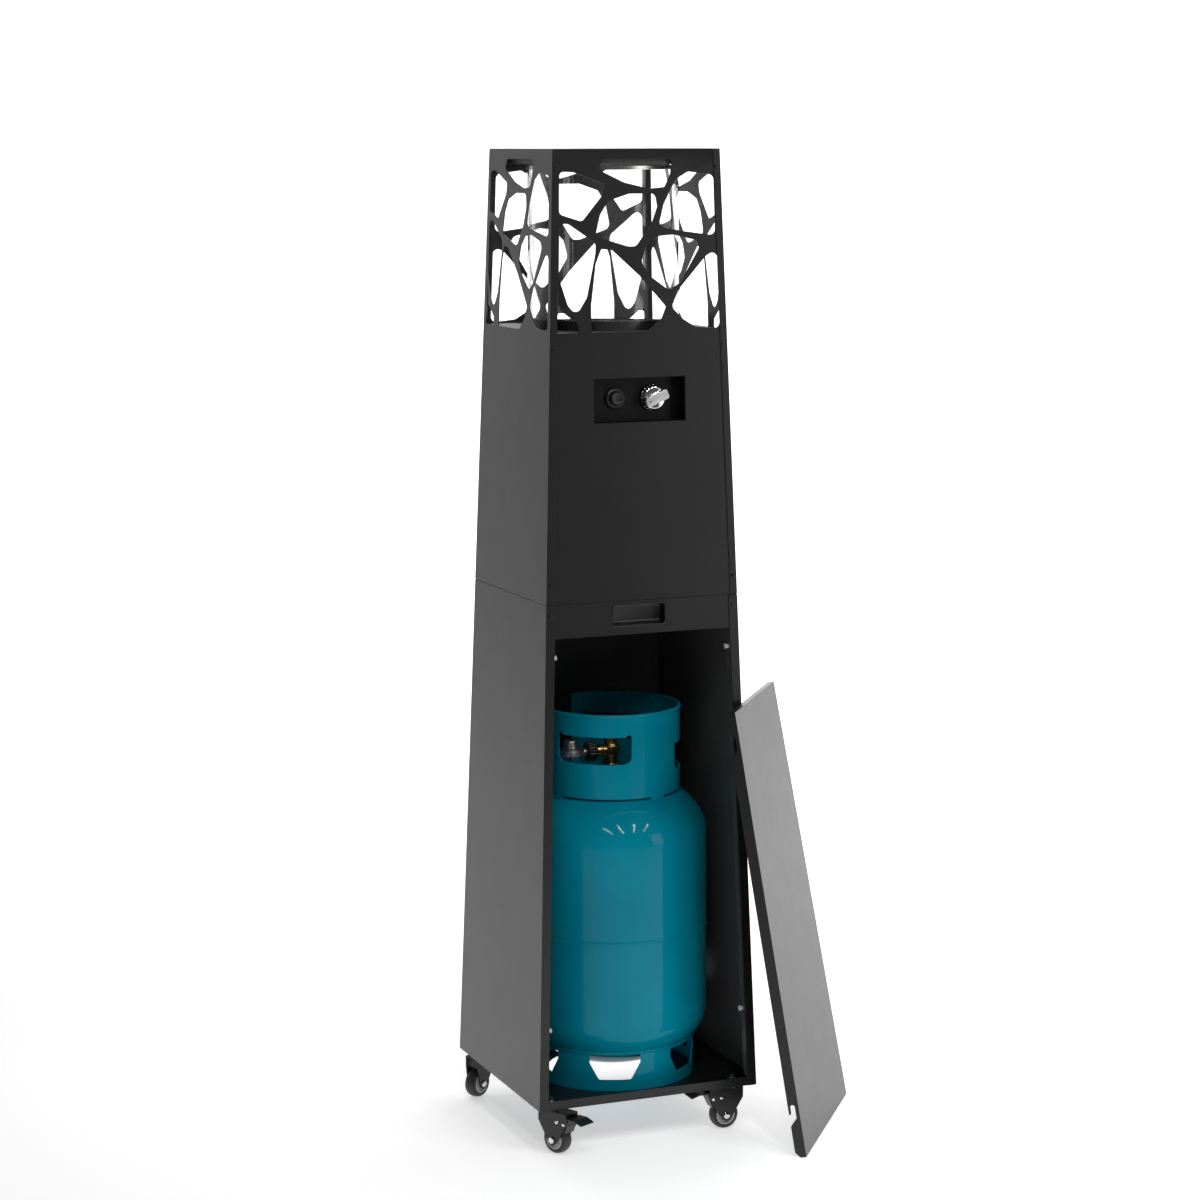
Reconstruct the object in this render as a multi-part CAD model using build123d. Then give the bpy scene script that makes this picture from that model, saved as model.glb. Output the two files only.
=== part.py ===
"""Patio gas heater: a tapered square tower on four casters.

The lower half is a cabinet for a gas bottle, with its lift-off door leaning on the right side. The upper half
holds the gas controls and, inside a cage of four cut-out panels, a glass flame tube over a round burner.
Origin: centre of the base plate's underside. +Z is up, -Y is the front, sizes are in millimetres.
"""

from build123d import *
from math import atan, cos, degrees, radians, sin, sqrt
import os

# ---- driving dimensions -------------------------------------------------------------------------------------

BASE_WIDTH = 350.0  # outer width of the square tower at its bottom edge
TOP_WIDTH = 260.0  # outer width at the top of the lid
TOWER_HEIGHT = 1397.0  # bottom edge of the cabinet to the top of the lid
SEAM_Z = 746.0  # joint between cabinet and upper housing
CAGE_Z = 1136.0  # lower edge of the cage's cut-outs
SHEET = 1.2  # steel sheet of every panel
CASTER_HEIGHT = 70.0  # floor to the base plate's underside
SCREW_R = 1.6  # panel screw shank

CABINET_FLANGE = 14.0  # front and back flanges of the cabinet's side panels
HOUSING_FLANGE = 11.0  # the same on the upper housing
RETURN_DEPTH = 15.0  # inward fold behind the cabinet's front flanges
LIP_Z = 13.0  # top of the base tray's lip
PLATE = 1.5  # base plate
VENT_R = 88.0  # round vent in the middle of the base plate
DECK = 1.2  # thickness of the deck at the seam and of the burner deck
RAIL_Z = 697.0  # lower edge of the front rail

PIN_R = 3.0  # door hang pins
PIN_LOW_Z = 118.0
PIN_PITCH = 550.0  # lower pin to upper pin, and hook to hook on the door

DOOR_BOTTOM = 313.0  # width of the door along its lower edge
DOOR_TOP = 268.0
DOOR_LENGTH = 664.0
DOOR_FLANGE = 16.0  # depth of the door's side flanges
DOOR_TOE = 8.0  # depth of its bottom flange
DOOR_BROW = 10.0  # depth of its top flange
DOOR_HOOK = 79.0  # lower edge of the door to the crown of the lower hook slot
DOOR_FOOT = (282.2, -199.7)  # middle of the door's lower outer edge, as it leans
DOOR_HEADING = 52.53  # direction of the door's lower edge, from +X towards +Y
DOOR_TILT = 10.0  # lean of the door from upright
DOOR_FOOT_GAP = 0.2  # the door's toe above the level of the casters' soles

BOTTLE_X, BOTTLE_Y = 6.8, -10.7
BOTTLE_R = 145.0
FOOT_R = 125.5
COLLAR_R = 104.2
COLLAR_Z = 442.0
COLLAR_TOP = 569.5
BODY_LOW_Z, BODY_HIGH_Z = 105.0, 376.0  # the bottle's straight wall
DOME_RISE = 87.0  # height of each domed end
SHELL = 2.5  # wall of collar and foot ring
VALVE_Z = 497.0  # axis of the bottle valve's outlet
GUARD_GAP = (104.0, 176.0)  # the guard's open stretch, in degrees from +X
GUARD_WINDOWS = ((-128.0, 494.5), (-14.0, 474.0), (59.0, 494.5))  # its hand slots: middle, lower edge
GUARD_FEET = (-70.0, 22.0, 85.0, -165.0)  # where it is welded to the tank
FOOT_WINDOW = -50.0  # middle of the foot ring's first cut-out
OUTLET_HEADING = 135.0  # direction of the regulator's hose tail

RECESS_X, RECESS_Z = 144.0, 66.0  # control recess: width and height
RECESS_MID_Z = 1037.5
RECESS_FLOOR_Y = -116.0  # back of the recess's floor sheet
KNOB_X, KNOB_Z = 28.0, 1038.5
BUTTON_X, BUTTON_Z = -30.5, 1039.0
PUSH_TRAVEL = 3.0  # push-in travel of the gas knob
BUTTON_TRAVEL = 4.0

SPINDLE_R = 3.0
BARREL_R, BUTTON_R = 11.0, 9.5
INLET_R, OUTLET_R = 4.5, 4.5  # plain hose tails of the gas valve and the regulator
KNOB_REST = 23.0  # the grip bar's turn from level at the off position
LID = 1.6

PAN_R = 115.0  # burner pan's rim
PAN_RIM_Z = 1151.0
GLASS_R, GLASS_WALL = 112.0, 3.0
GLASS_TOP = 1371.0
SHIELD_HALF = 122.0
SHIELD_Z = 1374.5  # lower edge of the heat shield's skirt

STEM_XY = 147.0  # caster stems from the tower's axis, along X and along Y
TRAIL = 14.0
WHEEL_R = 22.0
AXLE_Z = WHEEL_R - CASTER_HEIGHT
TYRE_HALF, HUB_HALF, FORK_IN, FORK_OUT = 9.5, 10.5, 11.0, 13.0
AXLE_R, KINGPIN_R, STEM_R = 3.0, 4.0, 4.0
RUNNING_GAP = 0.05  # radial clearance of every running fit
HEADINGS = {"front_left": -63.0, "front_right": 180.0, "back_left": -149.0, "back_right": 35.0}
CORNERS = {"front_left": (-1, -1), "front_right": (1, -1), "back_left": (-1, 1), "back_right": (1, 1)}

TAPER = (BASE_WIDTH - TOP_WIDTH) / 2 / TOWER_HEIGHT
TAPER_DEG = degrees(atan(TAPER))

# Cut-outs of the cage, seen from outside a panel: (sideways, up) from the middle of the cage's lower edge,
# and the radius that rounds the corners.
WEB = {
    "top_left": (7, [(-120, 229), (-98, 228), (-50, 211), (-54, 195), (-86, 158), (-121, 169)]),
    "top_middle": (5, [(-52, 246), (55, 246), (52, 225), (43, 206), (19, 204), (-20, 213), (-61, 232)]),
    "middle": (
        8,
        [(-45, 187), (-13, 197), (28, 197), (31, 178), (21, 152), (-3, 122), (-15, 122), (-66, 137),
         (-58, 168)],
    ),
    "left": (9, [(-121, 156), (-107, 155), (-65, 127), (-66, 112), (-80, 50), (-97, 24), (-110, 40), (-123, 79)]),
    "low_left": (3, [(-125, 29), (-116, 29), (-95, 13), (-93, 0), (-128, 0)]),
    "low_middle": (
        6,
        [(-74, 0), (-74, 38), (-66, 98), (-57, 119), (-40, 117), (2, 80), (43, 35), (36, 18), (13, 0)],
    ),
    "low_small": (5, [(32, 0), (42, 18), (59, 20), (68, 0)]),
    "low_right": (9, [(51, 34), (64, 60), (106, 106), (125, 118), (128, 1), (88, 5), (70, 16)]),
    "middle_right": (
        10,
        [(5, 99), (12, 121), (30, 136), (55, 138), (90, 130), (98, 121), (66, 69), (48, 58), (20, 78)],
    ),
    "top_right": (8, [(33, 152), (41, 182), (60, 217), (80, 228), (120, 223), (122, 136), (70, 143), (42, 148)]),
}

nodes = {}


# ---- small helpers ------------------------------------------------------------------------------------------


def half(z, inset=0.0):
    """Half the tower's outer width at height z, less an inset."""
    return BASE_WIDTH / 2 - TAPER * z - inset


def tapered(outline, low, high):
    """A solid between two heights whose section, outline(z), shrinks with the tower."""
    ends = [Pos(0, 0, z) * make_face(Polyline(*outline(z), close=True)) for z in (low, high)]
    return loft(ends, ruled=True)


def square_block(low, high, inset):
    """The tower's own square section between two heights, inset all round."""
    return tapered(lambda z: [(x * half(z, inset), y * half(z, inset)) for x, y in
                              ((-1, -1), (1, -1), (1, 1), (-1, 1))], low, high)


def block(x, y, z):
    """A box given by its lowest and highest x, y and z."""
    size = [b - a for a, b in (x, y, z)]
    return Pos(*[(a + b) / 2 for a, b in (x, y, z)]) * Box(*size)


def rod(radius, start, end, axis="Z", at=(0, 0)):
    """A cylinder along one axis, from start to end, at a place across it."""
    length = end - start
    if axis == "Z":
        return Pos(at[0], at[1], (start + end) / 2) * Cylinder(radius, length)
    if axis == "Y":
        return Pos(at[0], (start + end) / 2, at[1]) * Rot(90, 0, 0) * Cylinder(radius, length)
    return Pos((start + end) / 2, at[0], at[1]) * Rot(0, 90, 0) * Cylinder(radius, length)


def turned(points):
    """A body of revolution about Z from (radius, height) points."""
    return revolve(make_face(Plane.XZ * Polyline(*points, close=True)), Axis.Z)


def rounded_outline(points, radius):
    """A flat face with every corner rounded."""
    face = make_face(Polyline(*points, close=True))
    return fillet(face.vertices(), radius)


def turn_to_side(shape, side):
    """Carry a shape made for the front of the tower to another side."""
    return Rot(0, 0, {"front": 0, "right": 90, "back": 180, "left": -90}[side]) * shape


def add(name, *shapes):
    """Keep a node: its shapes must all be solids."""
    solids = [s for shape in shapes for s in shape.solids()]
    nodes[name] = solids[0] if len(solids) == 1 else Compound(children=solids)


# ---- panels -------------------------------------------------------------------------------------------------


def web_cutters():
    """The cage's cut-outs as blocks that pass through the front wall."""
    cutters = []
    for radius, points in WEB.values():
        face = rounded_outline(points, radius if min(p[1] for p in points) > 0.5 else min(radius, 3))
        front = Plane(origin=(0, -half(CAGE_Z) - 10, CAGE_Z), x_dir=(1, 0, 0), z_dir=(0, -1, 0))
        cutters.append(extrude(front * face, -30))
    return cutters


def screw_places(flange_middle, rows):
    """Where screws stand on the front wall: (x, z) pairs on both flanges."""
    return [(s * (half(z) - flange_middle), z) for z in rows for s in (-1, 1)]


def on_wall(x, z):
    """The place on the front wall's outer face at (x, z), with its Z pointing square out of the sheet."""
    return Pos(x, -half(z), z) * Rot(90 - TAPER_DEG, 0, 0)


def screw_shank(x, z):
    """The shank of a panel screw: it also bores its hole."""
    return on_wall(x, z) * Pos(0, 0, -2) * Cylinder(SCREW_R, 4.0)


def screw(x, z):
    """A pan-head screw, square to the sloping sheet."""
    head = Pos(0, 0, 0.8) * Cylinder(3.2, 1.6)
    head = fillet(head.edges().group_by(Axis.Z)[-1], 0.9)
    cross = Pos(0, 0, 1.5) * (Box(3.4, 0.8, 0.8) + Box(0.8, 3.4, 0.8))
    return on_wall(x, z) * (head - cross) + screw_shank(x, z)


def side_panel(side, low, high, flange, returns):
    """A side wall: one sheet with front and back flanges, and a return fold behind the front flange."""
    s = -1 if side == "left" else 1

    def outline(z):
        h = half(z)
        points = [(h, -h), (h, h), (h - flange, h), (h - flange, h - SHEET), (h - SHEET, h - SHEET),
                  (h - SHEET, -h + SHEET), (h - flange, -h + SHEET), (h - flange, -h)]
        return [(s * x, y) for x, y in points]

    wall = tapered(outline, low, high)
    if returns:

        def fold(z):
            h = half(z)
            x0, x1 = h - flange, h - flange + SHEET
            y0, y1 = -h + SHEET, -h + RETURN_DEPTH
            return [(s * x, y) for x, y in ((x0, y0), (x1, y0), (x1, y1), (x0, y1))]

        wall += tapered(fold, LIP_Z + 1.0, RAIL_Z - 0.1)
    return wall


def wall_sheet(low, high):
    """A front or back sheet, standing just behind the side panels' flanges (made at the front)."""
    def outline(z):
        x, y0, y1 = half(z, SHEET), -half(z, SHEET), -half(z, 2 * SHEET)
        return [(-x, y0), (x, y0), (x, y1), (-x, y1)]
    return tapered(outline, low, high)


def cabinet():
    """Base tray, the three fixed cabinet walls, front rail, pull cup, hang pins and the deck at the seam."""
    top = SEAM_Z - DECK / 2
    tray = square_block(0, PLATE, SHEET)
    tray += square_block(PLATE, LIP_Z, SHEET) - square_block(PLATE, LIP_Z, 2 * SHEET)
    for sx, sy in CORNERS.values():
        tray -= rod(STEM_R, -1, PLATE + 1, at=(sx * STEM_XY, sy * STEM_XY))
    tray -= rod(VENT_R, -1, PLATE + 1)
    add("base_tray", tray)

    middle = CABINET_FLANGE / 2
    places = [("back", x, z) for x, z in screw_places(middle, [40.0, 240.0, 480.0, 730.0])]
    places += [("front", x, z) for x, z in screw_places(middle, [730.0])]
    screws = [turn_to_side(screw(x, z), side) for side, x, z in places]
    shanks = [turn_to_side(screw_shank(x, z), side) for side, x, z in places]

    for side in ("left", "right"):
        add(f"cabinet_{side}_panel", side_panel(side, 0, top, CABINET_FLANGE, True) - shanks)

    back = wall_sheet(LIP_Z + 0.1, top)
    for row in range(3):
        for column in (-1, 0, 1):
            slot = Pos(column * 84, -170, 60 + row * 18) * Rot(90, 0, 0) * SlotOverall(62, 6)
            back -= extrude(slot, 20, both=True)
    add("cabinet_back_panel", turn_to_side(back, "back") - shanks)

    cup_mid_x, cup_mid_z, cup_depth, cup_wall = -6.0, 725.0, 18.0, 1.6
    face_y = -half(cup_mid_z, SHEET)

    def cup_block(x, z, start, end):
        x_span = (cup_mid_x - x / 2, cup_mid_x + x / 2)
        shape = block(x_span, (start, end), (cup_mid_z - z / 2, cup_mid_z + z / 2))
        return fillet(shape.edges().filter_by(Axis.Y), 4.0)

    outer = cup_block(85.0, 33.0, face_y - 0.8, face_y + cup_depth)
    hollow = cup_block(85.0 - 2 * cup_wall, 33.0 - 2 * cup_wall, face_y - 2, face_y + cup_depth - cup_wall)
    add("pull_cup", outer - hollow)

    rail = wall_sheet(RAIL_Z, top)
    fold_y = -half(RAIL_Z, 2 * SHEET)
    fold_x = half(RAIL_Z, CABINET_FLANGE + 3)
    rail += block((-fold_x, fold_x), (fold_y - SHEET / 2, fold_y + 12), (RAIL_Z, RAIL_Z + SHEET))
    add("front_rail", rail - outer - shanks)

    pins = []
    for z in (PIN_LOW_Z, PIN_LOW_Z + PIN_PITCH):
        tip = half(z, CABINET_FLANGE + 6)
        foot = half(z + 4, CABINET_FLANGE)
        at = (-half(z) + 9, z)
        pin = rod(PIN_R, tip, foot, "X", at) + rod(4.5, tip, tip + 1.4, "X", at)
        pins += [pin, mirror(pin, Plane.YZ)]
    add("door_hang_pins", *pins)

    reach_x, reach_y = half(SEAM_Z, SHEET / 2), half(SEAM_Z, 1.5 * SHEET)
    deck = block((-reach_x, reach_x), (-reach_y, reach_y), (top, top + DECK))
    add("seam_deck", deck - rod(20, SEAM_Z - 5, SEAM_Z + 5, at=(-60, 60)))
    return screws


def housing():
    """Upper housing: four walls with the cage cut into them, the lid, and the control recess's opening."""
    low, top = SEAM_Z + DECK / 2, TOWER_HEIGHT - LID
    cutters = web_cutters()
    middle = HOUSING_FLANGE / 2 + 0.5
    rows = [774.0, 1114.0, 1372.0]
    places = [(side, x, z) for side in ("front", "back") for x, z in screw_places(middle, rows)]
    shanks = [turn_to_side(screw_shank(x, z), side) for side, x, z in places]
    for side in ("left", "right"):
        panel = side_panel(side, low, top, HOUSING_FLANGE, False)
        add(f"housing_{side}_panel", panel - [turn_to_side(c, side) for c in cutters] - shanks)
    front = wall_sheet(low, top) - cutters
    back = turn_to_side(front, "back") - shanks
    recess = block((-RECESS_X / 2, RECESS_X / 2), (-160, -120),
                   (RECESS_MID_Z - RECESS_Z / 2, RECESS_MID_Z + RECESS_Z / 2))
    add("housing_front_panel", front - recess - shanks)
    add("housing_back_panel", back)
    add("top_lid", square_block(top, TOWER_HEIGHT, 0))
    return [turn_to_side(screw(x, z), side) for side, x, z in places]


# ---- burner and flame tube ----------------------------------------------------------------------------------


def burner():
    """Deck, pan, perforated plate, pilot set, glass tube with its top ring, and the heat shield."""
    floor_z, well_r, well_z, wall = CAGE_Z + 1.2, 102.0, 1112.0, 1.2
    pilot_x, pilot_y = 24.0, -62.0
    deck = square_block(CAGE_Z - DECK, CAGE_Z, 2 * SHEET)
    add("burner_deck", deck - rod(well_r + wall, CAGE_Z - 5, CAGE_Z + 5))

    inlet_r, bead = 5.0, 2.4
    pan = turned([(inlet_r, well_z), (well_r + wall, well_z), (well_r + wall, CAGE_Z), (PAN_R - 1, CAGE_Z),
                  (PAN_R - 1, PAN_RIM_Z - 2), (PAN_R, PAN_RIM_Z - 2), (PAN_R, PAN_RIM_Z),
                  (PAN_R - bead, PAN_RIM_Z), (PAN_R - bead, floor_z), (well_r, floor_z), (well_r, well_z + wall),
                  (inlet_r, well_z + wall)])
    add("burner_pan", pan)

    plate_r, plate_z = GLASS_R - GLASS_WALL - 1.5, PAN_RIM_Z - 0.8
    holes = [Pos(0, 0, plate_z) * place * Cylinder(2.8, 8) for ring in range(1, 7)
             for place in PolarLocations(16 * ring, 6 * ring)]
    plate = rod(plate_r, floor_z, plate_z) - rod(plate_r - wall, floor_z - 1, plate_z - wall) - holes
    flame_slot = block((pilot_x - 28, pilot_x + 28), (pilot_y - 7, pilot_y + 11), (plate_z - 2, plate_z + 1))
    add("burner_plate", plate - flame_slot)

    well = well_z + wall
    pilot = block((pilot_x - 9, pilot_x + 9), (pilot_y - 6, pilot_y + 6), (well, well + 2))
    pilot += rod(4.5, well + 2, well + 16, at=(pilot_x, pilot_y))
    pilot += block((pilot_x - 3, pilot_x + 3), (pilot_y - 3, pilot_y + 9), (well + 16, well + 18))
    add("pilot_burner", pilot)
    electrode_x = pilot_x - 20
    electrode = rod(3.2, well, well + 16, at=(electrode_x, pilot_y))
    electrode += rod(1.0, well + 16, well + 24, at=(electrode_x, pilot_y))
    electrode += rod(1.0, electrode_x - 1, electrode_x + 10, "X", (pilot_y, well + 23))
    add("igniter_electrode", electrode)
    probe_x = pilot_x + 20
    probe = rod(3.5, well, well + 8, at=(probe_x, pilot_y))
    add("thermocouple", probe + rod(2.2, well, well + 26, at=(probe_x, pilot_y)))

    inner = GLASS_R - GLASS_WALL
    add("glass_tube", turned([(inner, floor_z), (GLASS_R, floor_z), (GLASS_R, GLASS_TOP), (inner, GLASS_TOP)]))
    hem = GLASS_TOP - 4
    ring = turned([(inner - 1.2, hem), (inner, hem), (inner, GLASS_TOP), (GLASS_R, GLASS_TOP), (GLASS_R, hem),
                   (GLASS_R + 1.4, hem), (GLASS_R + 1.4, GLASS_TOP + 1.4), (inner - 1.2, GLASS_TOP + 1.4)])
    shield_floor = SHIELD_Z + 8.5
    for place in PolarLocations(inner + 1.5, 4, 45):
        ring += place * rod(1.8, GLASS_TOP + 1, shield_floor)
    add("glass_top_ring", ring)

    lid_z = TOWER_HEIGHT - LID
    span = (-SHIELD_HALF, SHIELD_HALF)
    shield = block(span, span, (SHIELD_Z, shield_floor + wall))
    inside = SHIELD_HALF - wall
    shield -= block((-inside, inside), (-inside, inside), (SHIELD_Z - 1, shield_floor))
    for x in (-1, 1):
        for y in (-1, 1):
            shield += rod(4.0, shield_floor + wall / 2, lid_z, at=(x * 90, y * 90))
    add("heat_shield", shield)


# ---- gas controls -------------------------------------------------------------------------------------------


def controls():
    """Recess tray, igniter, gas valve with its push-and-turn knob, burner pipe and tilt switch."""
    sheet_floor = RECESS_FLOOR_Y - SHEET
    x, z0, z1 = RECESS_X / 2, RECESS_MID_Z - RECESS_Z / 2, RECESS_MID_Z + RECESS_Z / 2
    tray = block((-x, x), (-160, RECESS_FLOOR_Y), (z0, z1))
    tray -= block((-x + SHEET, x - SHEET), (-161, sheet_floor), (z0 + SHEET, z1 - SHEET))
    tray &= square_block(z0 - 5, z1 + 5, SHEET)
    tray -= rod(SPINDLE_R + 1.0, -125, -110, "Y", (KNOB_X, KNOB_Z))
    tray -= rod(BARREL_R, -125, -110, "Y", (BUTTON_X, BUTTON_Z))
    add("control_recess", tray)

    bezel_y = sheet_floor - 6.0
    body = rod(15.0, bezel_y, sheet_floor, "Y", (BUTTON_X, BUTTON_Z))
    body = fillet(body.edges().group_by(Axis.Y)[0], 2.0)
    body += rod(BARREL_R, sheet_floor, -82, "Y", (BUTTON_X, BUTTON_Z))
    bore_end = sheet_floor + 12.0
    body -= rod(BUTTON_R + RUNNING_GAP, bezel_y - 1, bore_end, "Y", (BUTTON_X, BUTTON_Z))
    add("igniter_body", body)
    button = rod(BUTTON_R, bezel_y - 5.0, bore_end - BUTTON_TRAVEL - 1.0, "Y", (BUTTON_X, BUTTON_Z))
    add("igniter_button", fillet(button.edges().group_by(Axis.Y)[0], 1.5))

    valve_y = -102.0
    valve = block((KNOB_X - 17, KNOB_X + 17), (valve_y, -70), (KNOB_Z - 18, KNOB_Z + 18))
    valve = fillet(valve.edges().filter_by(Axis.Y), 4.0)
    valve += rod(11.0, KNOB_Z + 17, KNOB_Z + 26, at=(KNOB_X, -86))
    valve += rod(8.0, KNOB_Z - 26, KNOB_Z - 17, at=(KNOB_X, -86))
    valve += rod(INLET_R, KNOB_Z - 50, KNOB_Z - 25, at=(KNOB_X, -86))
    valve += block((KNOB_X - 30, KNOB_X + 30), (RECESS_FLOOR_Y, -98), (KNOB_Z - 22, KNOB_Z - 19.5))
    valve += block((KNOB_X - 10, KNOB_X + 10), (-99, -96), (KNOB_Z - 20, KNOB_Z - 17))
    valve -= rod(SPINDLE_R + RUNNING_GAP, valve_y - 1, valve_y + 22, "Y", (KNOB_X, KNOB_Z))
    add("gas_valve", valve)

    collar_y = RECESS_FLOOR_Y + 4.0
    collar = rod(7.0, collar_y, collar_y + 4, "Y", (KNOB_X, KNOB_Z))
    add("spindle_collar", collar - rod(SPINDLE_R + RUNNING_GAP, -120, -100, "Y", (KNOB_X, KNOB_Z)))

    knob_back = sheet_floor - PUSH_TRAVEL - 1.3
    skirt_front = knob_back - 9.0
    spindle = rod(SPINDLE_R, knob_back - 8, valve_y + 16, "Y", (KNOB_X, KNOB_Z))
    add("valve_spindle", spindle)
    skirt = Pos(KNOB_X, knob_back, KNOB_Z) * Rot(90, 0, 0) * extrude(Circle(19.0), 9.0, taper=6)
    flute = rod(1.3, skirt_front - 1, knob_back + 1, "Y", (19.3, 0))
    flutes = [Pos(KNOB_X, 0, KNOB_Z) * Rot(0, 15 * i, 0) * flute for i in range(24)]
    grip = extrude(RectangleRounded(37.5, 14.5, 4.5), 10.5)
    grip = fillet(grip.edges().group_by(Axis.Z)[-1], 1.2)
    grip = Pos(KNOB_X, skirt_front + 0.5, KNOB_Z) * Rot(90, 0, 0) * Rot(0, 0, KNOB_REST) * grip
    knob = (skirt - flutes) + grip - rod(SPINDLE_R, knob_back - 8, knob_back + 1, "Y", (KNOB_X, KNOB_Z))
    add("control_knob", knob)

    pipe_start, pipe_top, pipe_r = KNOB_Z + 26, 1113.2, 5.0
    corners = [(KNOB_X, -86, pipe_start), (KNOB_X, -86, pipe_start + 24), (0, 0, pipe_start + 24),
               (0, 0, pipe_top)]
    route = FilletPolyline(*corners, radius=11)
    pipe = sweep(Plane(origin=route @ 0, z_dir=route % 0) * Circle(pipe_r), route)
    pipe += rod(9.0, 1104, 1112, at=(0, 0))
    pipe += rod(3.2, 1112, 1118, at=(0, 0))
    add("burner_pipe", pipe)

    deck_under = CAGE_Z - DECK
    switch = fillet(block((-128, -92), (92, 116), (deck_under - 34, deck_under)).edges().filter_by(Axis.Z), 3)
    add("tilt_switch", switch + rod(4, deck_under - 42, deck_under - 34, at=(-110, 104)))


# ---- gas bottle ---------------------------------------------------------------------------------------------


def ring_wall(radius, low, high, wall=SHELL):
    """A plain round wall."""
    return turned([(radius - wall, low), (radius, low), (radius, high), (radius - wall, high)])


def radial_window(angle, width, low, high, corner, reach=200.0):
    """A block that cuts a rounded window through a round wall, facing an angle in degrees."""
    window = Pos(0, 0, (low + high) / 2) * Rot(0, 0, angle) * Rot(0, 90, 0) * extrude(
        RectangleRounded(high - low, width, corner), reach)
    return window


def bottle():
    """Tank, foot ring, valve guard, valve with handwheel, and the regulator with its union nut."""
    centre = Pos(BOTTLE_X, BOTTLE_Y, 0)

    neck_r = 17.0
    neck_rise = DOME_RISE * sqrt(1 - (neck_r / BOTTLE_R) ** 2)

    def domed(wall):
        """The tank's round solid, less a wall thickness all over."""
        radius, rise, crown = BOTTLE_R - wall, DOME_RISE - wall, 4.0  # a small flat crowns each dome
        upper = EllipticalCenterArc((0, BODY_HIGH_Z), radius, rise, 0, arc_size=90 - crown)
        lower = EllipticalCenterArc((0, BODY_LOW_Z), radius, rise, 270 + crown, arc_size=90 - crown)
        middle = Polyline(upper @ 1, (0, (upper @ 1).Y), (0, (lower @ 0).Y), lower @ 0)
        outline = Curve([lower, Line(lower @ 1, upper @ 0), upper, middle])
        return revolve(make_face(Plane.XZ * outline), Axis.Z)

    tank = domed(0)
    neck_top = BODY_HIGH_Z + DOME_RISE + 6
    tank += rod(neck_r, BODY_HIGH_Z + neck_rise - 4, neck_top)
    solid_tank = tank
    tank -= domed(SHELL)
    add("bottle_tank", centre * tank)

    foot_wall_top = BODY_LOW_Z - DOME_RISE * sqrt(1 - ((FOOT_R - SHELL) / BOTTLE_R) ** 2) + 3
    foot = ring_wall(FOOT_R, PLATE, foot_wall_top + 4)
    for i in range(6):
        cutter = Polyline((-38, 60), (-38, 42), (-24, 17), (24, 17), (38, 42), (38, 60), close=True)
        window = Plane.YZ * fillet(make_face(cutter).vertices(), 3)
        foot -= Rot(0, 0, FOOT_WINDOW + 60 * i) * Pos(0, 0, PLATE) * extrude(window, 200)
    add("bottle_foot_ring", centre * (foot - solid_tank))

    guard = ring_wall(COLLAR_R, COLLAR_Z, COLLAR_TOP - 2)
    guard += Pos(0, 0, COLLAR_TOP - 3) * Torus(COLLAR_R - 1.5, 3.0)
    rays = [radians(a) for a in (GUARD_GAP[0], sum(GUARD_GAP) / 2, GUARD_GAP[1])]
    wedge = make_face(Polyline((0, 0), *[(220 * cos(a), 220 * sin(a)) for a in rays], close=True))
    guard -= Pos(0, 0, COLLAR_Z - 5) * extrude(wedge, 200)
    window, height, ear = 2 * (COLLAR_R - 1) * sin(radians(33)), 41.0, 3.5
    for angle, low in GUARD_WINDOWS:
        guard -= radial_window(angle, window, low, low + height, 12)
        guard -= radial_window(angle, window, low + height / 2, low + height, 1)
        for edge in (-1, 1):
            corner = Pos(0, edge * (window / 2 - ear), low + height) * Rot(0, 90, 0) * extrude(Circle(ear), 200)
            guard -= Rot(0, 0, angle) * corner
    for angle in GUARD_FEET:
        shoe = radial_window(angle, 26, COLLAR_Z - 12, COLLAR_Z + 1, 2, COLLAR_R)
        guard += (shoe & ring_wall(COLLAR_R, COLLAR_Z - 20, COLLAR_Z + 1)) - solid_tank
    add("bottle_valve_guard", centre * guard)

    valve = rod(15.0, neck_top, neck_top + 8) + rod(11.0, neck_top, 527)
    valve += rod(9.0, -26, 0, "X", (0, VALVE_Z))
    valve += rod(5.0, 527, 530)
    add("bottle_valve", centre * valve)
    wheel = rod(26.0, 530.3, 545) - rod(20.5, 534, 546)
    wheel += rod(8.0, 530.3, 545)
    for i in range(5):
        wheel += Rot(0, 0, 72 * i) * block((6, 22), (-2.5, 2.5), (530.3, 542))
    for i in range(10):
        wheel -= Rot(0, 0, 36 * i) * rod(4.0, 525, 550, at=(29, 0))
    wheel_stem = 1.5
    wheel -= rod(wheel_stem, 520, 550)
    add("bottle_handwheel", centre * wheel)

    nut_end, body_x = -42.0, -67.0
    grip = extrude(RegularPolygon(15, 6), (-26 - nut_end) / 2, both=True)
    add("union_nut", centre * Pos((nut_end - 26) / 2, 0, VALVE_Z) * Rot(0, 90, 0) * grip)
    body = [(0, -12), (19, -12), (22, -5), (22, 2), (14, 9), (11, 21), (0, 21)]
    regulator = Pos(body_x, 0, VALVE_Z) * turned(body)
    regulator += rod(7.0, body_x, nut_end, "X", (0, VALVE_Z - 2))
    outlet = rod(6.5, 10, 30) + rod(OUTLET_R, 10, 50)
    regulator += Pos(body_x, 0, VALVE_Z - 4) * Rot(0, 0, OUTLET_HEADING) * Rot(0, 90, 0) * outlet
    add("gas_regulator", centre * regulator)


# ---- door ---------------------------------------------------------------------------------------------------


def door_place():
    """The leaning door's frame: its X runs along the lower edge, its Y points inwards, its Z up the door."""
    drop = DOOR_TOE * sin(radians(DOOR_TILT))
    foot = (DOOR_FOOT[0], DOOR_FOOT[1], -CASTER_HEIGHT + DOOR_FOOT_GAP + drop)
    return Pos(*foot) * Rot(0, 0, DOOR_HEADING) * Rot(-DOOR_TILT, 0, 0)


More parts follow.
